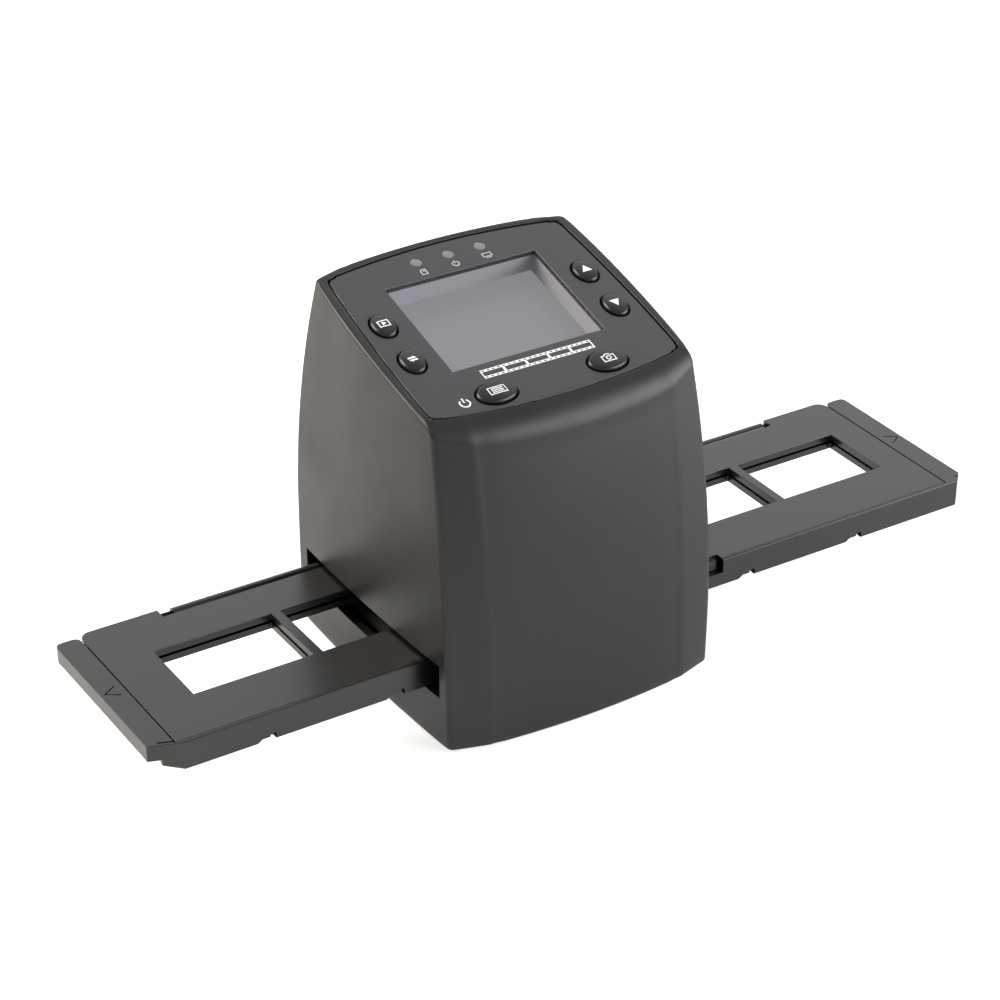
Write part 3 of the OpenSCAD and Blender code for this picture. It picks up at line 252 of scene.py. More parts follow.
def loft(name: str, rings: Sequence[Ring]) -> Piece:
    """Model a closed skin by extruding a disc from ring to ring.

    Args:
        name: The new object's name.
        rings: Rings of equal counts in millimetres, counter-clockwise, from the lowest up.

    Returns:
        The new object.
    """
    clear_selection()
    bpy.ops.mesh.primitive_circle_add(vertices=len(rings[0]), radius=1, fill_type="NGON")
    piece = bpy.context.object
    piece.name = name
    scaled = [[point * MM for point in ring] for ring in rings]
    bpy.ops.object.mode_set(mode="EDIT")
    disc = bmesh.from_edit_mesh(piece.data)
    disc.verts.ensure_lookup_table()
    for vert, place in zip(disc.verts, scaled[0]):
        vert.co = place
    bmesh.update_edit_mesh(piece.data)
    for lower, upper in zip(scaled, scaled[1:]):
        goal = {tuple(point): place for point, place in zip(lower, upper)}
        bpy.ops.mesh.extrude_region_move()
        skin = bmesh.from_edit_mesh(piece.data)
        for vert in skin.verts:
            if vert.select:
                vert.co = goal[tuple(vert.co)]
        bmesh.update_edit_mesh(piece.data)
    face_outwards(piece, gap=0.0005)
    return piece


def plate(name: str, outlines: Sequence[Outline], thickness: float, edge: float = 0) -> Piece:
    """Model a flat plate with holes, centred on its own plane, with rounded edges.

    Args:
        name: The new object's name.
        outlines: The plate's outline and those of its holes, in millimetres.
        thickness: The plate's whole thickness.
        edge: Radius of its edges.

    Returns:
        The new object, a mesh.
    """
    drawing = bpy.data.curves.new(name, "CURVE")
    drawing.dimensions = "2D"
    drawing.fill_mode = "BOTH"
    drawing.extrude = (thickness / 2 - edge) * MM
    drawing.bevel_depth = edge * MM
    drawing.bevel_resolution = 2
    drawing.offset = -edge * MM
    for outline in outlines:
        line = drawing.splines.new("POLY")
        line.points.add(len(outline) - 1)
        for point, (x, y) in zip(line.points, outline):
            point.co = (x * MM, y * MM, 0, 1)
        line.use_cyclic_u = True
    piece = bpy.data.objects.new(name, drawing)
    bpy.context.scene.collection.objects.link(piece)
    pick(piece)
    bpy.ops.object.convert(target="MESH")
    piece = bpy.context.object
    face_outwards(piece)
    return piece


def block(name: str, low: Sequence[float], high: Sequence[float]) -> Piece:
    """Add a block between two corners, as a cutting tool.

    Args:
        name: The new object's name.
        low: Its lowest corner.
        high: Its highest corner.

    Returns:
        The new object.
    """
    clear_selection()
    middle = [(a + b) / 2 * MM for a, b in zip(low, high)]
    size = [(b - a) * MM for a, b in zip(low, high)]
    bpy.ops.mesh.primitive_cube_add(size=1, location=middle, scale=size)
    piece = bpy.context.object
    piece.name = name
    bake_place(piece)
    return piece


def bake_place(piece: Piece, matrix: Matrix | None = None) -> None:
    """Move a piece, then put its whole place into its mesh.

    Args:
        piece: The piece.
        matrix: How it is moved first, in metres.
    """
    if matrix is not None:
        piece.matrix_world = matrix @ piece.matrix_world
    pick(piece)
    bpy.ops.object.transform_apply(location=True, rotation=True, scale=True)


def join(pieces: Sequence[Piece]) -> Piece:
    """Join pieces into the first of them.

    Args:
        pieces: The pieces.

    Returns:
        The joined piece.
    """
    pick(*pieces)
    if len(pieces) > 1:
        bpy.ops.object.join()
    return bpy.context.object


def cut(piece: Piece, tool: Piece) -> None:
    """Cut a tool's shape out of a piece, and throw the tool away.

    Args:
        piece: The piece.
        tool: A closed solid of the shape that goes.
    """
    step = piece.modifiers.new("cut", "BOOLEAN")
    step.operation = "DIFFERENCE"
    step.solver = "EXACT"
    step.object = tool
    pick(piece)
    bpy.ops.object.modifier_apply(modifier=step.name)
    bpy.data.objects.remove(tool)


def ease_top(
    piece: Piece, width: float, degrees: float, shortest: float, level: float = 0.01,
) -> None:
    """Round the long sharp edges round a piece's top face.

    Args:
        piece: The piece, with its doubles merged.
        width: Width of the rounding.
        degrees: Edges that turn by more than this are rounded.
        shortest: Edges shorter than this are left as they are.
        level: How far below the highest point an edge may lie.
    """
    with editing(piece):
        bpy.ops.mesh.select_mode(type="EDGE")
        bpy.ops.mesh.select_all(action="DESELECT")
        shape = bmesh.from_edit_mesh(piece.data)
        limit = math.radians(degrees)
        top = max(vert.co.z for vert in shape.verts) - level * MM
        for edge in shape.edges:
            sharp = edge.is_manifold and edge.calc_face_angle(0) > limit
            on_top = min(vert.co.z for vert in edge.verts) > top
            edge.select = sharp and on_top and edge.calc_length() > shortest * MM
        bmesh.update_edit_mesh(piece.data)
        bpy.ops.mesh.bevel(offset=width * MM, segments=2, affect="EDGES", clamp_overlap=False)


# ---- finishes


class Pattern(Enum):
    """How a surface was made: how its grain is squeezed along each axis, if it has any."""

    POLISHED = None
    MOULDED = (1, 1, 1)
    ROLLED = (0.08, 1, 1)
    TURNED = (1, 1, 12)


@dataclass(frozen=True)
class Finish:
    """Looks of one material: colours as sRGB hex, lengths in millimetres."""

    name: str
    colour: str
    roughness: float
    pattern: Pattern = Pattern.MOULDED
    metallic: float = 0.0
    ior: float = 1.5
    transmission: float = 0.0
    alpha: float = 1.0
    glow: float = 0.0
    glow_colour: str = "#ffffff"
    grain: float = 0.5
    grain_depth: float = 0.006
    drift: float = 0.06
    drift_size: float = 22.0
    gloss_drift: float = 0.05


def linear(colour: str, share: float = 1.0) -> tuple[float, float, float, float]:
    """Turn an sRGB colour to linear values.

    Args:
        colour: The colour as #rrggbb.
        share: What the linear values are scaled by.

    Returns:
        Red, green, blue and an alpha of 1.
    """
    parts = (int(colour[i:i + 2], 16) / 255 for i in (1, 3, 5))
    red, green, blue = (c / 12.92 if c <= 0.04045 else ((c + 0.055) / 1.055) ** 2.4 for c in parts)
    return red * share, green * share, blue * share, 1.0


def clean_tree(owner: bpy.types.Material | bpy.types.World) -> bpy.types.NodeTree:
    """Turn on nodes and empty the tree.

    Args:
        owner: A material or world.

    Returns:
        Its empty node tree.
    """
    owner.use_nodes = True
    owner.node_tree.nodes.clear()
    return owner.node_tree


def add_node(
    tree: bpy.types.NodeTree,
    kind: str,
    settings: dict[str, object] | None = None,
    values: dict[str | int, object] | None = None,
    links: dict[str | int, bpy.types.NodeSocket] | None = None,
) -> bpy.types.Node:
    """Add a node with its settings, socket values and incoming links.

    Args:
        tree: The node tree.
        kind: The node's type name.
        settings: Properties of the node.
        values: Values of input sockets, by name or index.
        links: Output sockets that feed input sockets, by name or index.

    Returns:
        The new node.
    """
    node = tree.nodes.new(kind)
    for name, value in (settings or {}).items():
        setattr(node, name, value)
    for key, value in (values or {}).items():
        node.inputs[key].default_value = value
    for key, source in (links or {}).items():
        tree.links.new(source, node.inputs[key])
    return node


class FinishShelf:
    """Makes each finish's material once."""

    gloss_range: Point = (0.3, 0.7)

    def __init__(self) -> None:
        """Start with no material made."""
        self.made: dict[str, bpy.types.Material] = {}

    def material(self, look: str) -> bpy.types.Material:
        """Find a finish's material, and make it the first time.

        Args:
            look: The finish's key in the table.

        Returns:
            The material.
        """
        if look not in self.made:
            self.made[look] = self.mix_material(FINISHES[look])
        return self.made[look]

    def mix_material(self, finish: Finish) -> bpy.types.Material:
        """Make a material with slow drift of tone and gloss, and fine grain in its surface.

        Args:
            finish: The finish.

        Returns:
            The new material.
        """
        material = bpy.data.materials.new(finish.name)
        tree = clean_tree(material)
        place = add_node(tree, "ShaderNodeTexCoord").outputs["Object"]
        drift = add_node(
            tree, "ShaderNodeTexNoise",
            values={"Scale": 1 / (finish.drift_size * MM), "Detail": 3.0, "Roughness": 0.55},
            links={"Vector": place},
        ).outputs["Fac"]
        dark, light = (linear(finish.colour, 1 + way * finish.drift) for way in (-1, 1))
        tone = add_node(
            tree, "ShaderNodeMix", {"data_type": "RGBA"}, {6: dark, 7: light}, {0: drift},
        ).outputs[2]
        shader = add_node(
            tree, "ShaderNodeBsdfPrincipled",
            values={
                "Metallic": finish.metallic, "IOR": finish.ior, "Alpha": finish.alpha,
                "Transmission Weight": finish.transmission, "Roughness": finish.roughness,
                "Emission Strength": finish.glow, "Emission Color": linear(finish.glow_colour),
            },
            links={"Base Color": tone},
        )
        if finish.pattern is not Pattern.POLISHED:
            low, high = self.gloss_range
            gloss = add_node(
                tree, "ShaderNodeMapRange",
                values={
                    "From Min": low, "From Max": high,
                    "To Min": finish.roughness - finish.gloss_drift,
                    "To Max": finish.roughness + finish.gloss_drift,
                },
                links={"Value": drift},
            ).outputs["Result"]
            tree.links.new(gloss, shader.inputs["Roughness"])
            along = add_node(
                tree, "ShaderNodeMapping", values={"Scale": finish.pattern.value},
                links={"Vector": place},
            ).outputs["Vector"]
            grain = add_node(
                tree, "ShaderNodeTexNoise",
                values={"Scale": 1 / (finish.grain * MM), "Detail": 2.0, "Roughness": 0.6},
                links={"Vector": along},
            ).outputs["Fac"]
            bump = add_node(
                tree, "ShaderNodeBump",
                values={"Strength": 1.0, "Distance": finish.grain_depth * MM},
                links={"Height": grain},
            ).outputs["Normal"]
            tree.links.new(bump, shader.inputs["Normal"])
        add_node(tree, "ShaderNodeOutputMaterial", links={"Surface": shader.outputs["BSDF"]})
        return material

    def dress(self, piece: Piece, look: str, body: Body, *nodes: str) -> None:
        """Give a finished piece its material and its place in the frame.

        Args:
            piece: The finished piece.
            look: Name of its finish, which is the record's slot where there is one.
            body: The body that it rides on.
            nodes: Names of the CAD nodes that it replaces.
        """
        piece.data.materials.clear()
        piece.data.materials.append(self.material(look))
        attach(piece, body.value)
        if nodes:
            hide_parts(*nodes)
        LOG.info("%s rides on %s, %d faces", piece.name, body.value, len(piece.data.polygons))


SLOTS = {part["node"]: part["material_slot"] for part in frame["record"]["subparts"]}

# Finishes by the record's slots, and below them those of pieces that have one of their own
FINISHES = {
    # Housing of fine-textured ABS: a matt black-grey that takes broad soft highlights
    "housing_plastic": Finish(
        "abs_moulded_textured", "#121213", 0.42, ior=1.41, grain=0.45, grain_depth=0.008,
    ),
    # Underside of plain moulded ABS, duller than the housing
    "base_plastic": Finish("abs_moulded_plain", "#28282a", 0.55),
    # Panel of smooth satin ABS: finer, lighter and more even than the housing
    "panel_plastic": Finish(
        "abs_moulded_satin", "#26282d", 0.36, grain=0.35, grain_depth=0.004, drift=0.03,
    ),
    # Window of thin polished acrylic: clear with a faint grey veil, and a sharp highlight
    "window_acrylic": Finish(
        "acrylic_polished_clear", "#3a3a3e", 0.05, Pattern.POLISHED, ior=1.49, alpha=0.08,
        drift=0,
    ),
    # Keys of glossy moulded ABS: near black, with a bright round highlight
    "button_plastic": Finish(
        "abs_moulded_glossy", "#0e0e0f", 0.3, ior=1.42, grain_depth=0.001, gloss_drift=0.03,
    ),
    # Light lenses of frosted acrylic, unlit and grey
    "light_pipe": Finish("acrylic_moulded_frosted", "#6f6f73", 0.4, ior=1.49, grain_depth=0.001),
    # Emitter bodies of pale epoxy
    "led_package": Finish("epoxy_cast_pale", "#d9cf9a", 0.3, grain_depth=0.001),
    # Circuit boards: green solder mask, glossy over a glass weave
    "circuit_board": Finish("solder_mask_green", "#1f5b38", 0.28, grain=0.8, drift=0.12),
    # Chips of moulded black epoxy, dull and slightly grainy
    "chip_resin": Finish("epoxy_moulded_black", "#1c1c1d", 0.6, grain=0.25),
    # Connectors of natural nylon, cream and half matt
    "connector_plastic": Finish("nylon_moulded_cream", "#ddd8c8", 0.45),
    # Key switch housings of black nylon
    "switch_plastic": Finish("nylon_moulded_black", "#242426", 0.5),
    # Key switch plungers of red acetal, a little waxy
    "plunger_plastic": Finish("acetal_moulded_red", "#9c2f22", 0.35),
    # Screws and springs: nickel-plated steel with fine turning marks
    "steel": Finish(
        "steel_nickel_plated", "#b9b8b4", 0.28, Pattern.TURNED, metallic=1.0, grain=0.3,
    ),
    # Socket and display shells: tinned sheet steel with rolling lines
    "tinned_steel": Finish(
        "steel_sheet_tinned", "#c4c6c8", 0.32, Pattern.ROLLED, metallic=1.0, grain=0.3,
    ),
    # Gasket of pale closed-cell foam rubber, soft and open-grained
    "gasket_rubber": Finish("foam_rubber_cut", "#a2a2aa", 0.85, grain_depth=0.03),
    # Pad under the base: soft black rubber
    "foot_rubber": Finish("rubber_moulded_black", "#18181a", 0.8, grain=0.6, grain_depth=0.02),
    # Backlit display seen through its polariser: an even blue-grey
    "display_glass": Finish(
        "display_glass_backlit", "#1c1d1f", 0.4, Pattern.POLISHED, drift=0.01, glow=0.95,
        glow_colour="#8b8d91",
    ),
    # Ribbon cables: amber polyimide film
    "ribbon_film": Finish("polyimide_film_amber", "#b5722a", 0.3, Pattern.ROLLED, grain=0.4),
    # Lead jackets of soft grey vinyl
    "lead_jacket": Finish("vinyl_extruded_grey", "#6e7075", 0.5),
    # Inner frame and tray guide of plain black ABS
    "inner_plastic": Finish("abs_moulded_inner", "#232325", 0.55),
    # Lens holder of matt black polycarbonate
    "lens_mount": Finish("polycarbonate_moulded_matt", "#161617", 0.65),
    # Lens elements: coated optical glass with a faint green cast
    "optical_glass": Finish(
        "optical_glass_coated", "#eef8f2", 0.0, Pattern.POLISHED, ior=1.52, transmission=1.0,
    ),
    # Infrared filter: pale cyan glass
    "filter_glass": Finish(
        "infrared_filter_glass", "#bfe4e6", 0.0, Pattern.POLISHED, ior=1.52, transmission=1.0,
    ),
    # Sensor face: dark glass over silicon, with a purple cast
    "sensor_glass": Finish("sensor_cover_glass", "#2b2238", 0.08, Pattern.POLISHED),
    # Light box of white ABS that spreads the light
    "white_plastic": Finish("abs_moulded_white", "#ececea", 0.6),
    # Diffuser of opal acrylic
    "opal_plastic": Finish("acrylic_cast_opal", "#f4f4f2", 0.4, ior=1.49, grain_depth=0.001),
    # Film holder of fine-textured ABS: smoother than the housing, so it takes brighter highlights
    "holder_plastic": Finish(
        "abs_moulded_holder", "#0e0e0f", 0.27, grain=0.45, grain_depth=0.004, gloss_drift=0.02,
    ),
    # Hinge pins: blackened steel, near black with a dull shine
    "hinge_pins": Finish(
        "steel_blackened", "#1b1b1d", 0.45, Pattern.TURNED, metallic=1.0, grain=0.3,
    ),
    # Pictograms: white pad-printed ink
    "print_ink": Finish("ink_pad_printed_white", "#e6e6e8", 0.6, grain=0.3, grain_depth=0.002),
    # Signs of the lights: the same ink, printed thinner and so a little greyer
    "label_ink": Finish("ink_pad_printed_grey", "#b9b9bd", 0.6, grain=0.3, grain_depth=0.002),
}


# ---- housing and panel


@dataclass(frozen=True)
class PanelPlane:
    """The control panel's plane, which rises to the back."""

    y: float = 4.3
    z: float = 102.0
    tilt: float = 15.2

    def height(self, y: float, above: float = 0) -> float:
        """Return the height at the place y of the plane that lies above the panel's face."""
        angle = math.radians(self.tilt)
        return self.z + (above + (y - self.y) * math.sin(angle)) / math.cos(angle)

    def matrix(self, u: float = 0, v: float = 0, above: float = 0) -> Matrix:
        """Find how a piece is placed on the panel.

        Args:
            u: Place across the panel.
            v: Place up the panel.
            above: Height over its face.

        Returns:
            The placing matrix, in metres.
        """
        base = Matrix.Translation(Vector((0, self.y, self.z)) * MM)
        turn = Matrix.Rotation(math.radians(self.tilt), 4, "X")
        return base @ turn @ Matrix.Translation(Vector((u, v, above)) * MM)


@dataclass(frozen=True)
class ButtonSpot:
    """One key of the panel."""

    name: str
    body: Body
    at: Point
    width: float
    height: float


@dataclass(frozen=True)
class PanelLayout:
    """Places and sizes of what the control panel carries."""

    plane: PanelPlane = PanelPlane()
    thickness: float = 1.6
    back_width: float = 72.2
    front_width: float = 76.0
    back_v: float = 26.8
    front_v: float = -32.0
    back_bow: float = 3.2
    front_bow: float = 3.8
    side_bow: float = 0.9
    corner: float = 2.3
    corner_steps: int = 8
    side_steps: int = 24
    gap: float = 0.45
    deck: float = 2.2
    window: Point = (47.0, 35.6)
    light_v: float = 24.8
    light_pitch: float = 10.0
    light_width: float = 3.2
    light_steps: int = 32
    button_gap: float = 0.4
    proud: float = 1.2
    crown_rise: float = 0.5
    buttons: tuple[ButtonSpot, ...] = (
        ButtonSpot("play_button", Body.PLAY, (-31.5, 4.65), 6.6, 8.9),
        ButtonSpot("flip_button", Body.FLIP, (-31.5, -10.6), 6.6, 8.9),
        ButtonSpot("up_button", Body.UP, (31.5, 4.65), 6.6, 8.9),
        ButtonSpot("down_button", Body.DOWN, (31.5, -10.6), 6.6, 8.9),
        ButtonSpot("menu_button", Body.MENU, (-17.1, -29.3), 11.7, 7.9),
        ButtonSpot("capture_button", Body.CAPTURE, (17.1, -29.3), 11.7, 7.9),
    )

    @property
    def deck_n(self) -> float:
        """Height of the deck's underside over the panel's face."""
        return -(self.thickness + self.deck)

    def crown_height(self, spot: ButtonSpot, x: float, y: float) -> float:
        """Find how far a key's crown stands above the panel.

        Args:
            spot: The key.
            x: Place across, from its middle.
            y: Place up the panel, from its middle.

        Returns:
            The height over the panel's face.
        """
        half = max(spot.width, spot.height) / 2
        radius = (half * half + self.crown_rise ** 2) / (2 * self.crown_rise)
        return self.proud - radius + math.sqrt(radius * radius - x * x - y * y)

    def light_places(self) -> list[Point]:
        """Return the places of the indicator lights."""
        return [(i * self.light_pitch, self.light_v) for i in (-1, 0, 1)]

    def outline(self, grow: float) -> Outline:
        """Draw the panel's outline.

        Args:
            grow: How far it is grown all round.

        Returns:
            The outline's points.
        """
        back, front = self.back_width / 2 + grow, self.front_width / 2 + grow
        top, foot = self.back_v + grow, self.front_v - grow
        sides = (
            ((front, foot), self.side_bow), ((back, top), self.back_bow),
            ((-back, top), self.side_bow), ((-front, foot), self.front_bow),
        )
        corners = [Corner(at, self.corner, self.corner_steps, bow) for at, bow in sides]
        return soft_outline(corners, self.side_steps)

    def holes(self, window_gap: float, light_gap: float) -> list[Outline]:
        """Draw the openings for display, lights and buttons.

        Args:
            window_gap: Room round the display window.
            light_gap: Room round each light.

        Returns:
            Their outlines.
        """
        width, height = self.window
        openings = [box_outline(width + 2 * window_gap, height + 2 * window_gap)]
        for place in self.light_places():
            size = self.light_width + 2 * light_gap
            openings.append(round_outline(size, size, place, self.light_steps))
        for spot in self.buttons:
            grow = 2 * self.button_gap
            openings.append(round_outline(spot.width + grow, spot.height + grow, spot.at))
        return openings


@dataclass(frozen=True)
class Housing:
    """The bowed upper housing, with its recess for the panel and a slot in each side."""

    layout: PanelLayout = PanelLayout()
    belly_width: float = 86.8
    top_width: float = 82.2
    belly_z: float = 28.6
    front_reach: float = 39.6
    back_reach: float = 41.4
    front_sweep: Point = (12.6, 340.0)
    back_sweep: Point = (38.6, 254.0)
    side_bulge: float = 1.25
    strip_x: float = 30.5
    strip_depth: float = 3.4
    back_strip_depth: float = 2.4
    crown: float = 1.9
    corner_reach: float = 1.6
    corner_steps: int = 8
    crease_reach: float = 1.5
    crease_steps: int = 4
    side_steps: int = 16
    wall: float = 2.3
    front_rim: float = 8.0
    side_rim: float = 0.9
    rim_proud: float = 0.3
    rim_fade: Point = (0.55, 0.95)
    foot: float = 0.6
    foot_edge: float = 1.5
    foot_rings: int = 4
    recess_edge: float = 0.3
    recess_rings: int = 4
    slot_reach: float = 38.3
    slot_width: float = 71.6
    slot_z: Point = (16.0, 26.0)
    card_slot: Place = (-12.4, 28.8, 3.8)
    usb_slot: Place = (19.0, 9.8, 4.8)
    socket_z: float = 86.06
    socket_y: Point = (30.0, 60.0)
    window_gap: float = 1.9
    light_gap: float = 0.2
    overrun: float = 1.0
    wall_rings: int = 30
    rim_rings: int = 10
    merge: float = 0.001
    sharp_angle: float = 35.0
    cavity_shares: tuple[float, ...] = (0, 0.3, 0.5, 0.7, 0.85, 1)

    def half_width(self, z: float) -> float:
        """Return half the width across the side walls at a height."""
        share = (z - self.belly_z) / (self.layout.plane.z - self.belly_z)
        return (self.belly_width - (self.belly_width - self.top_width) * share * share) / 2

    def front_corner(self, z: float) -> float:
        """Return the place of the front corners at a height."""
        start, radius = self.front_sweep
        return max(0, z - start) ** 2 / (2 * radius) - self.front_reach

    def back_corner(self, z: float) -> float:
        """Return the place of the back corners at a height."""
        start, radius = self.back_sweep
        return self.back_reach - max(0, z - start) ** 2 / (2 * radius)

    def outline(self, z: float, inset: float) -> Outline:
        """Draw the housing's outline at a height.

        Args:
            z: The height.
            inset: How far it is drawn in from the outer face.

        Returns:
            The outline's points, from the near right corner.
        """
        side = self.half_width(z) - self.side_bulge - inset
        front, back = self.front_corner(z) + inset, self.back_corner(z) - inset
        far, near = back + self.back_strip_depth, front - self.strip_depth
        corner = (self.corner_reach, self.corner_steps)
        crease = (self.crease_reach, self.crease_steps)
        corners = (
            Corner((side, front), *corner, self.side_bulge),
            Corner((side, back), *corner),
            Corner((self.strip_x, far), *crease, self.crown),
            Corner((-self.strip_x, far), *crease),
            Corner((-side, back), *corner, self.side_bulge),
            Corner((-side, front), *corner),
            Corner((-self.strip_x, near), *crease, self.crown),
            Corner((self.strip_x, near), *crease),
        )
        return soft_outline(corners, self.side_steps)

    def rim_radius(self, y: float, front_r: float, side_r: float) -> float:
        """Find the top edge's rounding: full in front, small elsewhere.

        Args:
            y: The place, from front to back.
            front_r: The rounding in front.
            side_r: The rounding elsewhere.

        Returns:
            The radius.
        """
        start, end = self.rim_fade
        share = min(1, max(0, (-y / self.front_reach - start) / (end - start)))
        return mix(side_r, front_r, share * share * (3 - 2 * share))

    def ring(
        self, inset: float, bottom: float, top_n: float, radii: Point, t: float, turn: float = 0,
    ) -> Ring:
        """Return one ring of the housing's skin.

        Args:
            inset: How far the ring is drawn in from the outer face.
            bottom: Height at which the skin starts.
            top_n: Where the skin ends, above the panel's face.
            radii: Rounding of the top edge in front and elsewhere.
            t: Share of the way up the wall.
            turn: Angle up the rounding of the top edge.

        Returns:
            The ring's points.
        """
        plane, (front_r, side_r) = self.layout.plane, radii
        guesses = self.outline(mix(bottom, plane.z, t), inset)
        bend = 1 - math.cos(turn)
        ring = []
        for i, (_, guess_y) in enumerate(guesses):
            radius = self.rim_radius(guess_y, front_r, side_r)
            guess_z = mix(bottom, plane.height(guess_y, top_n) - radius, t)
            x, y = self.outline(guess_z, inset)[i]
            if y < 0:
                y *= 1 - front_r * bend / self.front_reach
            else:
                y *= 1 - side_r * bend / self.back_reach
            x *= 1 - side_r * bend / (self.top_width / 2)
            z = mix(bottom, plane.height(y, top_n) - radius, t) + radius * math.sin(turn)
            ring.append(Vector((x, y, z)))
        return ring

    def outer_skin(self) -> Piece:
        """Model the housing's outer face as a solid.

        Returns:
            The solid.
        """
        radii = (self.front_rim, self.side_rim)
        rings = []
        for i in range(self.foot_rings + 1):
            turn = QUARTER_TURN * i / self.foot_rings
            share = self.foot_edge * (1 - math.cos(turn)) / self.layout.plane.z
            inset = self.foot_edge * (1 - math.sin(turn))
            rings.append(self.ring(inset, self.foot, self.rim_proud, radii, share))
        shares = [i / self.wall_rings for i in range(1, self.wall_rings + 1)]
        rings += [self.ring(0, self.foot, self.rim_proud, radii, t) for t in shares]
        turns = (QUARTER_TURN * i / self.rim_rings for i in range(1, self.rim_rings + 1))
        rings += [self.ring(0, self.foot, self.rim_proud, radii, 1, turn) for turn in turns]
        return loft("housing_shell", rings)

    def cavity(self) -> Piece:
        """Model the hollow inside the housing.

        Returns:
            The cutting tool.
        """
        radii = (self.front_rim - self.wall, self.side_rim / 2)
        steps = [(t, 0) for t in self.cavity_shares] + [(1, QUARTER_TURN / 2), (1, QUARTER_TURN)]
        bottom, top = self.foot - self.overrun, self.layout.deck_n
        rings = [self.ring(self.wall, bottom, top, radii, t, turn) for t, turn in steps]
        return loft("cavity_tool", rings)

    def recess(self) -> Piece:
        """Model the recess that the panel lies in, flared where its edge is rounded.

        Returns:
            The cutting tool.
        """
        layout = self.layout
        top, edge = self.rim_proud, self.recess_edge
        levels = [(-layout.thickness, 0.0), (top - edge, 0.0)]
        for i in range(1, self.recess_rings + 1):
            angle = i / self.recess_rings * QUARTER_TURN
            levels.append((top - edge * (1 - math.sin(angle)), edge * (1 - math.cos(angle))))
        levels.append((top + 2 * self.overrun, edge))
        rings = [
            [Vector((u, v, n)) for u, v in layout.outline(layout.gap + grow)] for n, grow in levels
        ]
        tool = loft("recess_tool", rings)
        bake_place(tool, layout.plane.matrix())
        return tool

    def openings(self) -> Piece:
        """Model the deck's holes, the side slots and the openings of the sockets.

        Returns:
            The cutting tools, joined.
        """
        layout = self.layout
        depth = layout.thickness + layout.deck + 2 * self.overrun
        middle = layout.deck_n - self.overrun + depth / 2
        tools = []
        for i, hole in enumerate(layout.holes(self.window_gap, self.light_gap)):
            tool = plate(f"hole_tool_{i}", [hole], depth)
            bake_place(tool, layout.plane.matrix(0, 0, middle))
            tools.append(tool)
        low, high = self.slot_z
        for way in (-1, 1):
            ends = sorted((way * self.slot_reach, way * self.belly_width))
            half = self.slot_width / 2
            tools.append(block("slot_tool", (ends[0], -half, low), (ends[1], half, high)))
        (start, end), z = self.socket_y, self.socket_z
        for x, width, height in (self.card_slot, self.usb_slot):
            corner = (x + width / 2, end, z + height)
            tools.append(block("socket_tool", (x - width / 2, start, z), corner))
        return join(tools)

    def build(self, shelf: FinishShelf) -> None:
        """Model the housing and dress it.

        Args:
            shelf: Where the materials come from.
        """
        shell = self.outer_skin()
        cut(shell, self.cavity())
        cut(shell, self.recess())
        cut(shell, self.openings())
        face_outwards(shell, self.merge)
        shade(shell, self.sharp_angle)
        shelf.dress(shell, "housing_plastic", Body.SCANNER, "upper_housing")


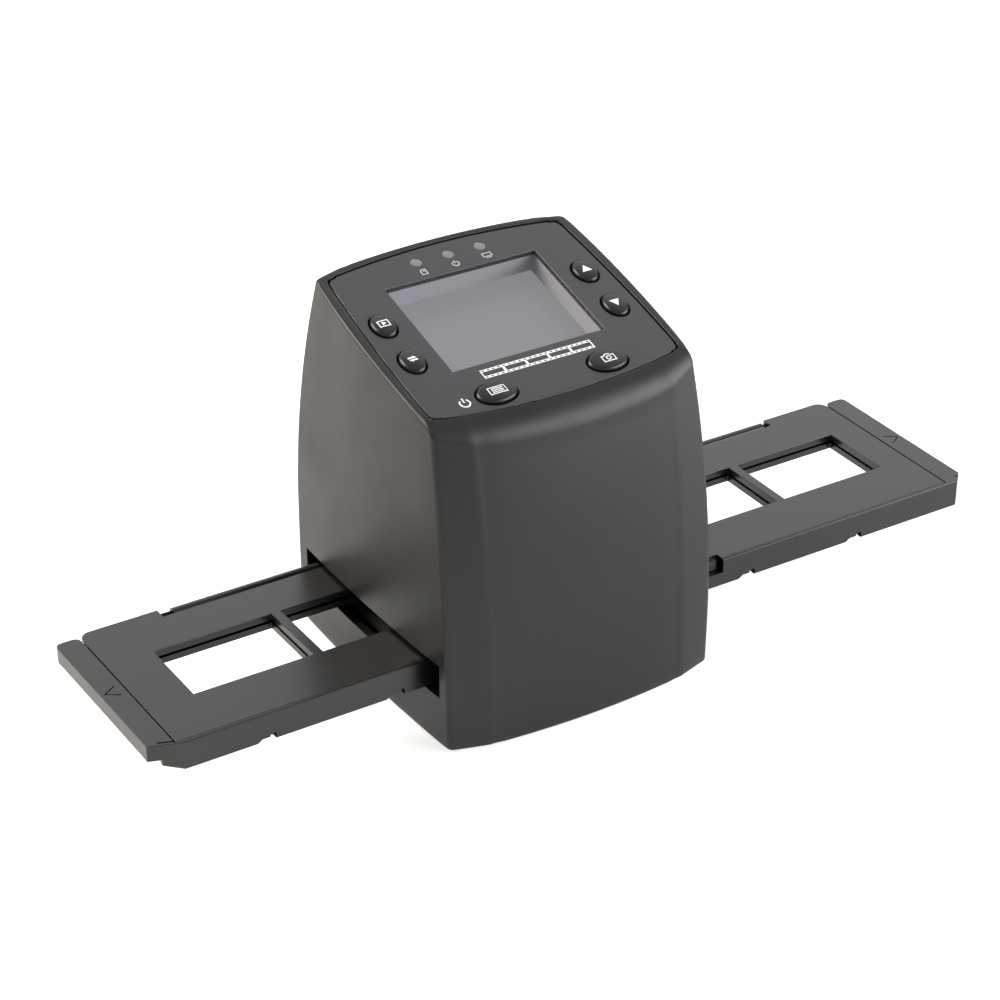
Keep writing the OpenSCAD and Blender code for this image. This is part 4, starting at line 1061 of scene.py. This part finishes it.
@dataclass(frozen=True)
class ControlPanel:
    """The satin panel with its keys and indicator lights."""

    layout: PanelLayout = PanelLayout()
    edge: float = 0.25
    stem: float = 3.0
    stem_n: float = -6.5
    flange_rim: float = 0.9
    flange_n: Point = (-5.0, -4.1)
    hole_gap: float = 0.05
    light_foot_n: float = -8.95
    light_flange_n: Point = (-4.7, -3.8)
    light_proud: float = 0.15
    light_dome: float = 0.2
    light_shoulder: float = 0.985
    light_rings: int = 6
    light_steps: int = 40
    shoulder: float = 0.8
    shoulder_rings: int = 7
    crown_rings: int = 5
    plate_angle: float = 30.0
    key_angle: float = 40.0

    def build_plate(self) -> Piece:
        """Model the panel's plate.

        Returns:
            The plate.
        """
        layout = self.layout
        outlines = [layout.outline(0), *layout.holes(0, self.hole_gap)]
        piece = plate("panel_plate", outlines, layout.thickness, self.edge)
        bake_place(piece, layout.plane.matrix(0, 0, -layout.thickness / 2))
        return piece

    def oval_ring(self, spot: ButtonSpot, grow: float, n: float) -> Ring:
        """Return a level ring of a key's section, grown all round."""
        outline = round_outline(spot.width + 2 * grow, spot.height + 2 * grow)
        return [Vector((x, y, n)) for x, y in outline]

    def crown_ring(self, spot: ButtonSpot, inset: float, share: float, drop: float) -> Ring:
        """Return a ring on a key's crown.

        Args:
            spot: The key.
            inset: How far the ring is drawn in from the key's section.
            share: Share by which it is then drawn to the middle.
            drop: How far it lies below the crown's face.

        Returns:
            The ring's points.
        """
        outline = round_outline((spot.width - 2 * inset) * share, (spot.height - 2 * inset) * share)
        return [Vector((x, y, self.layout.crown_height(spot, x, y) - drop)) for x, y in outline]

    def build_button(self, spot: ButtonSpot) -> Piece:
        """Model one key: stem, flange under the deck, wall, round shoulder and low crown.

        Args:
            spot: The key.

        Returns:
            The key's cap.
        """
        low, high = self.flange_n
        stem = round_outline(self.stem, self.stem)
        rings = [[Vector((x, y, n)) for x, y in stem] for n in (self.stem_n, low)]
        rings += [self.oval_ring(spot, self.flange_rim, n) for n in (low, high)]
        rings.append(self.oval_ring(spot, 0, high))
        for i in range(self.shoulder_rings + 1):
            turn = QUARTER_TURN * i / self.shoulder_rings
            inset = self.shoulder * (1 - math.cos(turn))
            rings.append(self.crown_ring(spot, inset, 1, self.shoulder * (1 - math.sin(turn))))
        for i in range(1, self.crown_rings):
            rings.append(self.crown_ring(spot, self.shoulder, 1 - i / self.crown_rings, 0))
        piece = loft(f"{spot.name}_cap", rings)
        bake_place(piece, self.layout.plane.matrix(*spot.at))
        shade(piece, self.key_angle)
        return piece

    def build_light(self, index: int, at: Point) -> Piece:
        """Model one indicator light: a pipe with a flange and a domed lens.

        Args:
            index: Its number, from the left.
            at: Its place on the panel.

        Returns:
            The light.
        """
        radius, low, high = self.layout.light_width / 2, *self.light_flange_n
        wide, rim_n = radius + self.flange_rim, self.light_proud - self.light_dome
        levels = [(radius, self.light_foot_n), (radius, low), (wide, low), (wide, high)]
        levels += [(radius, high), (radius, rim_n)]
        for i in range(1, self.light_rings + 1):
            angle = QUARTER_TURN * i / (self.light_rings + 0.5)
            size = radius * math.cos(angle) * self.light_shoulder
            levels.append((size, self.light_proud - self.light_dome * (1 - math.sin(angle))))
        rings = []
        for size, n in levels:
            section = round_outline(2 * size, 2 * size, steps=self.light_steps)
            rings.append([Vector((x, y, n)) for x, y in section])
        piece = loft(f"indicator_lens_{index}", rings)
        bake_place(piece, self.layout.plane.matrix(*at))
        shade(piece, self.key_angle)
        return piece

    def build(self, shelf: FinishShelf) -> None:
        """Model the panel, its keys and its lights, and dress them.

        Args:
            shelf: Where the materials come from.
        """
        face = self.build_plate()
        shade(face, self.plate_angle, flat=True)
        shelf.dress(face, "panel_plastic", Body.SCANNER, "control_panel")
        for spot in self.layout.buttons:
            shelf.dress(self.build_button(spot), "button_plastic", spot.body, spot.name)
        for i, at in enumerate(self.layout.light_places()):
            nodes = ("indicator_lights",) if i == 0 else ()
            shelf.dress(self.build_light(i, at), "light_pipe", Body.SCANNER, *nodes)


@dataclass(frozen=True)
class Marks:
    """White pad-printed pictograms on the panel and the keys."""

    layout: PanelLayout = PanelLayout()
    line: float = 0.32
    film: float = 0.03
    strip_v: float = -21.8
    strip: Point = (34.0, 3.3)
    strip_frames: int = 5
    strip_holes: int = 21
    strip_bar: float = 0.7
    strip_edge: float = 0.85
    strip_hole: Point = (0.75, 0.42)
    label_v: float = 20.6
    power_at: Point = (-26.9, -29.7)
    # Outer width and line of the two power signs
    power_sign: Point = (3.2, 0.42)
    power_label: Point = (2.2, 0.3)
    power_arc: Point = (128.0, 412.0)
    # Length and lift of their bar, as shares of the width
    power_bar: Point = (0.52, 0.34)
    power_steps: int = 36
    play_frame: Point = (3.3, 2.5)
    menu_frame: Point = (5.2, 2.7)
    menu_line: float = 0.28
    menu_bar: Point = (3.4, 0.3)
    menu_pitch: float = 0.62
    screen: Point = (2.9, 1.6)
    screen_v: float = 0.3
    screen_line: float = 0.26
    stand: Point = (1.6, 0.28)
    stand_v: float = -0.95
    camera_v: float = -0.15
    camera_rings: tuple[tuple[float, int], ...] = ((1.6, 32), (0.95, 24))
    key_cuts: int = 4

    def frame(self, width: float, height: float, line: float, at: Point = (0, 0)) -> list[Outline]:
        """Return a rectangle drawn with a line."""
        return [box_outline(width - grow, height - grow, at) for grow in (0, 2 * line)]

    def play(self) -> list[Outline]:
        """Return a triangle in a frame."""
        arrow = [(-0.55, -0.75), (0.75, 0), (-0.55, 0.75)]
        return [*self.frame(*self.play_frame, self.line), arrow]

    def swap(self) -> list[Outline]:
        """Return two half arrows that pass each other."""
        upper = [(-1.25, 0.18), (1.25, 0.18), (0.3, 1.2), (0.3, 0.72), (-1.25, 0.72)]
        return [upper, [(-x, -y) for x, y in upper]]

    def triangle(self, way: int) -> list[Outline]:
        """Return a triangle that points up, or down where way is negative."""
        return [[(-1.5, -1.1 * way), (1.5, -1.1 * way), (0, 1.5 * way)]]

    def menu(self) -> list[Outline]:
        """Return three lines of a list in a frame."""
        bars = [box_outline(*self.menu_bar, (0, i * self.menu_pitch)) for i in (-1, 0, 1)]
        return [*self.frame(*self.menu_frame, self.menu_line), *bars]

    def camera(self) -> list[Outline]:
        """Draw a camera with a line.

        Returns:
            Its outlines.
        """
        body = [
            (-1.95, -1.45), (1.95, -1.45), (1.95, 0.95), (1.0, 0.95), (0.65, 1.5), (-0.65, 1.5),
            (-1.0, 0.95), (-1.95, 0.95),
        ]
        inside = [
            (-1.65, -1.15), (1.65, -1.15), (1.65, 0.65), (0.84, 0.65), (0.49, 1.2), (-0.49, 1.2),
            (-0.84, 0.65), (-1.65, 0.65),
        ]
        at = (0, self.camera_v)
        rings = (round_outline(size, size, at, steps) for size, steps in self.camera_rings)
        return [body, inside, *rings]

    def power(self, width: float, line: float) -> list[Outline]:
        """Draw an open ring with a bar in its gap.

        Args:
            width: The ring's outer width.
            line: Thickness of ring and bar.

        Returns:
            Its outlines.
        """
        outer, inner = width / 2, width / 2 - line
        (start, end), steps = self.power_arc, self.power_steps
        length, lift = self.power_bar
        angles = [math.radians(mix(start, end, i / steps)) for i in range(steps + 1)]
        ring = [(outer * math.cos(a), outer * math.sin(a)) for a in angles]
        ring += [(inner * math.cos(a), inner * math.sin(a)) for a in reversed(angles)]
        return [ring, box_outline(line, width * length, (0, width * lift))]

    def card(self) -> list[Outline]:
        """Draw a memory card with a cut corner.

        Returns:
            Its outlines.
        """
        outer = [(-0.95, -1.1), (0.95, -1.1), (0.95, 1.1), (-0.35, 1.1), (-0.95, 0.5)]
        inner = [(-0.67, -0.82), (0.67, -0.82), (0.67, 0.82), (-0.23, 0.82), (-0.67, 0.38)]
        return [outer, inner, *(box_outline(0.2, 0.5, (x, 0.3)) for x in (0, 0.38))]

    def monitor(self) -> list[Outline]:
        """Return a monitor on its stand."""
        screen = self.frame(*self.screen, self.screen_line, (0, self.screen_v))
        return [*screen, box_outline(*self.stand, (0, self.stand_v))]

    def film_strip(self) -> list[Outline]:
        """Draw a strip of film with its frames and perforations.

        Returns:
            Its outlines.
        """
        width, height = self.strip
        step, pitch = width / self.strip_frames, width / self.strip_holes
        hole_w, hole_h = self.strip_hole
        shapes = [box_outline(width, height)]
        for i in range(self.strip_frames):
            at = ((i - (self.strip_frames - 1) / 2) * step, 0)
            shapes.append(box_outline(step - self.strip_bar, height - 2 * self.strip_edge, at))
        for i in range(self.strip_holes):
            for side in (-1, 1):
                at = ((i - (self.strip_holes - 1) / 2) * pitch, side * (height / 2 - hole_h))
                shapes.append(box_outline(hole_w, hole_h, at))
        return shapes

    def print_on_panel(self, name: str, shapes: list[Outline], at: Point) -> Piece:
        """Model a mark that lies on the panel.

        Args:
            name: The mark's name.
            shapes: Its outlines.
            at: Its place on the panel.

        Returns:
            The mark.
        """
        piece = plate(name, shapes, self.film)
        bake_place(piece, self.layout.plane.matrix(*at, self.film / 2))
        return piece

    def print_on_key(self, name: str, shapes: list[Outline], spot: ButtonSpot) -> Piece:
        """Model a mark that follows a key's crown.

        Args:
            name: The mark's name.
            shapes: Its outlines.
            spot: The key.

        Returns:
            The mark.
        """
        piece = plate(name, shapes, self.film)
        with editing(piece):
            bpy.ops.mesh.subdivide(number_cuts=self.key_cuts)
            for vert in bmesh.from_edit_mesh(piece.data).verts:
                height = self.layout.crown_height(spot, vert.co.x / MM, vert.co.y / MM)
                vert.co.z += (height + self.film / 2) * MM
            bmesh.update_edit_mesh(piece.data)
        bake_place(piece, self.layout.plane.matrix(*spot.at))
        return piece

    def build(self, shelf: FinishShelf) -> None:
        """Model all marks and dress them.

        Args:
            shelf: Where the materials come from.
        """
        drawn = {
            "play_button": self.play(), "flip_button": self.swap(), "up_button": self.triangle(1),
            "down_button": self.triangle(-1), "menu_button": self.menu(),
            "capture_button": self.camera(),
        }
        for spot in self.layout.buttons:
            mark = self.print_on_key(f"{spot.name}_mark", drawn[spot.name], spot)
            shelf.dress(mark, "print_ink", spot.body)
        lights = self.layout.light_places()
        labels = {
            "film_strip_mark": (self.film_strip(), (0.0, self.strip_v), "print_ink"),
            "power_mark": (self.power(*self.power_sign), self.power_at, "print_ink"),
            "card_label": (self.card(), (lights[0][0], self.label_v), "label_ink"),
            "power_label": (
                self.power(*self.power_label), (lights[1][0], self.label_v), "label_ink",
            ),
            "monitor_label": (self.monitor(), (lights[2][0], self.label_v), "label_ink"),
        }
        for name, (shapes, at, look) in labels.items():
            shelf.dress(self.print_on_panel(name, shapes, at), look, Body.SCANNER)


# ---- film holder


@dataclass(frozen=True)
class FilmHolder:
    """The film holder's base and lid, with the long edges of their tops eased."""

    edge: float = 0.15
    shortest: float = 5.0
    merge: float = 0.001
    flat_angle: float = 1.0
    round_angle: float = 40.0
    sharp_angle: float = 16.0

    def eased_copy(self, node: str, name: str) -> Piece:
        """Copy a CAD node, merge its faces and round the long edges of its top.

        Args:
            node: The node's name.
            name: The copy's name.

        Returns:
            The copy.
        """
        pick(frame["nodes"][node])
        bpy.ops.object.duplicate()
        piece = bpy.context.object
        piece.name = name
        with editing(piece):
            bpy.ops.mesh.remove_doubles(threshold=self.merge * MM)
            bpy.ops.mesh.dissolve_limited(angle_limit=math.radians(self.flat_angle))
        ease_top(piece, self.edge, self.round_angle, self.shortest)
        return piece

    def build(self, shelf: FinishShelf) -> None:
        """Model both halves and dress them.

        Args:
            shelf: Where the materials come from.
        """
        for node, name, body in (
            ("holder_base", "film_holder_base", Body.TRAY),
            ("holder_lid", "film_holder_lid", Body.LID),
        ):
            piece = self.eased_copy(node, name)
            shade(piece, self.sharp_angle, flat=True)
            shelf.dress(piece, "holder_plastic", body, node)


# ---- carried-over CAD pieces


class Innards:
    """The CAD nodes that keep their shape and get a better finish."""

    def build(self, shelf: FinishShelf, replaced: set[str]) -> None:
        """Finish every node that no piece replaces.

        Args:
            shelf: Where the materials come from.
            replaced: Names of the nodes that a piece stands for.
        """
        for name, node in frame["nodes"].items():
            if name in replaced:
                continue
            look = name if name in FINISHES else SLOTS[name]
            for slot in node.material_slots:
                slot.material = shelf.material(look)
            LOG.info("%s keeps its shape in %s", name, FINISHES[look].name)


# ---- studio


@dataclass(frozen=True)
class SoftLamp:
    """A soft lamp, wide by tall, that faces the scanner's middle."""

    name: str
    place: Place
    size: Point
    power: float
    colour: str = "#ffffff"


@dataclass(frozen=True)
class Studio:
    """Floor, world, lamps and camera."""

    lens: float = 101.497
    sensor: float = 36.0
    view_depth: float = 20000.0
    camera_place: Place = (-355.8, -565.9, 430.5)
    camera_turn: Point = (29.922, -32.077)
    floor_size: float = 6000.0
    floor_colour: str = "#d8d8d8"
    floor_lift: float = 0.7
    world_light: float = 0.3
    lamps: tuple[SoftLamp, ...] = (
        SoftLamp("lamp_left_back", (-650.0, 500.0, 700.0), (700.0, 700.0), 18.0, "#fff2e2"),
        SoftLamp("lamp_right_back", (700.0, 1000.0, 780.0), (1500.0, 1500.0), 5.0),
        SoftLamp("lamp_right_front", (1000.0, -900.0, 520.0), (1400.0, 1000.0), 30.0),
    )
    aim: Place = (0.0, 0.0, 50.0)

    def seen(self, tree: bpy.types.NodeTree) -> bpy.types.NodeSocket:
        """Tell the rays that see the background apart: those of camera, gloss and glass.

        Args:
            tree: The node tree.

        Returns:
            An output that is 1 for them and 0 for others.
        """
        rays = add_node(tree, "ShaderNodeLightPath").outputs
        result = rays["Is Camera Ray"]
        for ray in ("Is Glossy Ray", "Is Transmission Ray"):
            result = add_node(
                tree, "ShaderNodeMath", {"operation": "MAXIMUM"}, links={0: result, 1: rays[ray]},
            ).outputs["Value"]
        return result

    def build_floor(self) -> None:
        """Lay a plain pale floor that shows white to the camera and keeps the shadow."""
        clear_selection()
        bpy.ops.mesh.primitive_grid_add(
            x_subdivisions=4, y_subdivisions=4, size=self.floor_size * MM,
        )
        floor = bpy.context.object
        floor.name = "floor"
        material = bpy.data.materials.new("floor_paper_white")
        tree = clean_tree(material)
        paper = add_node(
            tree, "ShaderNodeBsdfDiffuse", values={"Color": linear(self.floor_colour)},
        ).outputs["BSDF"]
        lift = add_node(
            tree, "ShaderNodeMath", {"operation": "MULTIPLY"}, {1: self.floor_lift},
            {0: self.seen(tree)},
        ).outputs["Value"]
        glow = add_node(tree, "ShaderNodeEmission", links={"Strength": lift}).outputs["Emission"]
        both = add_node(tree, "ShaderNodeAddShader", links={0: paper, 1: glow}).outputs["Shader"]
        add_node(tree, "ShaderNodeOutputMaterial", links={"Surface": both})
        floor.data.materials.append(material)

    def build_world(self) -> None:
        """Make a soft grey world that camera, gloss and glass see as white."""
        world = bpy.data.worlds.new("studio_world")
        bpy.context.scene.world = world
        tree = clean_tree(world)
        strength = add_node(
            tree, "ShaderNodeMapRange", values={"To Min": self.world_light, "To Max": 1.0},
            links={"Value": self.seen(tree)},
        ).outputs["Result"]
        light = add_node(tree, "ShaderNodeBackground", links={"Strength": strength})
        add_node(tree, "ShaderNodeOutputWorld", links={"Surface": light.outputs["Background"]})

    def build_lamps(self) -> None:
        """Hang the soft lamps, each turned to the scanner."""
        for lamp in self.lamps:
            data = bpy.data.lights.new(lamp.name, "AREA")
            data.shape = "RECTANGLE"
            data.size, data.size_y = (length * MM for length in lamp.size)
            data.energy = lamp.power
            data.color = linear(lamp.colour)[:3]
            item = bpy.data.objects.new(lamp.name, data)
            item.location = Vector(lamp.place) * MM
            way = Vector(self.aim) * MM - item.location
            item.rotation_euler = way.to_track_quat("-Z", "Y").to_euler()
            bpy.context.scene.collection.objects.link(item)

    def build_camera(self) -> None:
        """Stand the camera where the photograph was taken from."""
        data = bpy.data.cameras.new("camera")
        data.lens = self.lens
        data.sensor_width = self.sensor
        data.clip_end = self.view_depth * MM
        camera = bpy.data.objects.new("camera", data)
        camera.location = Vector(self.camera_place) * MM
        down, around = self.camera_turn
        camera.rotation_euler = Euler((math.radians(90 - down), 0, math.radians(around)))
        bpy.context.scene.collection.objects.link(camera)
        bpy.context.scene.camera = camera

    def build(self) -> None:
        """Set up the whole studio."""
        self.build_floor()
        self.build_world()
        self.build_lamps()
        self.build_camera()
        bpy.context.scene.view_settings.view_transform = "Standard"


REPLACED = {
    "upper_housing", "control_panel", "indicator_lights", "holder_base", "holder_lid",
    "play_button", "flip_button", "up_button", "down_button", "menu_button", "capture_button",
}


def main() -> None:
    """Build and dress the scanner, and set up the studio."""
    logging.basicConfig(level=logging.INFO, format="%(name)s: %(message)s")
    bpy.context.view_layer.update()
    shelf = FinishShelf()
    Studio().build()
    Innards().build(shelf, REPLACED)
    Housing().build(shelf)
    ControlPanel().build(shelf)
    Marks().build(shelf)
    FilmHolder().build(shelf)


if __name__ == "__main__":
    main()
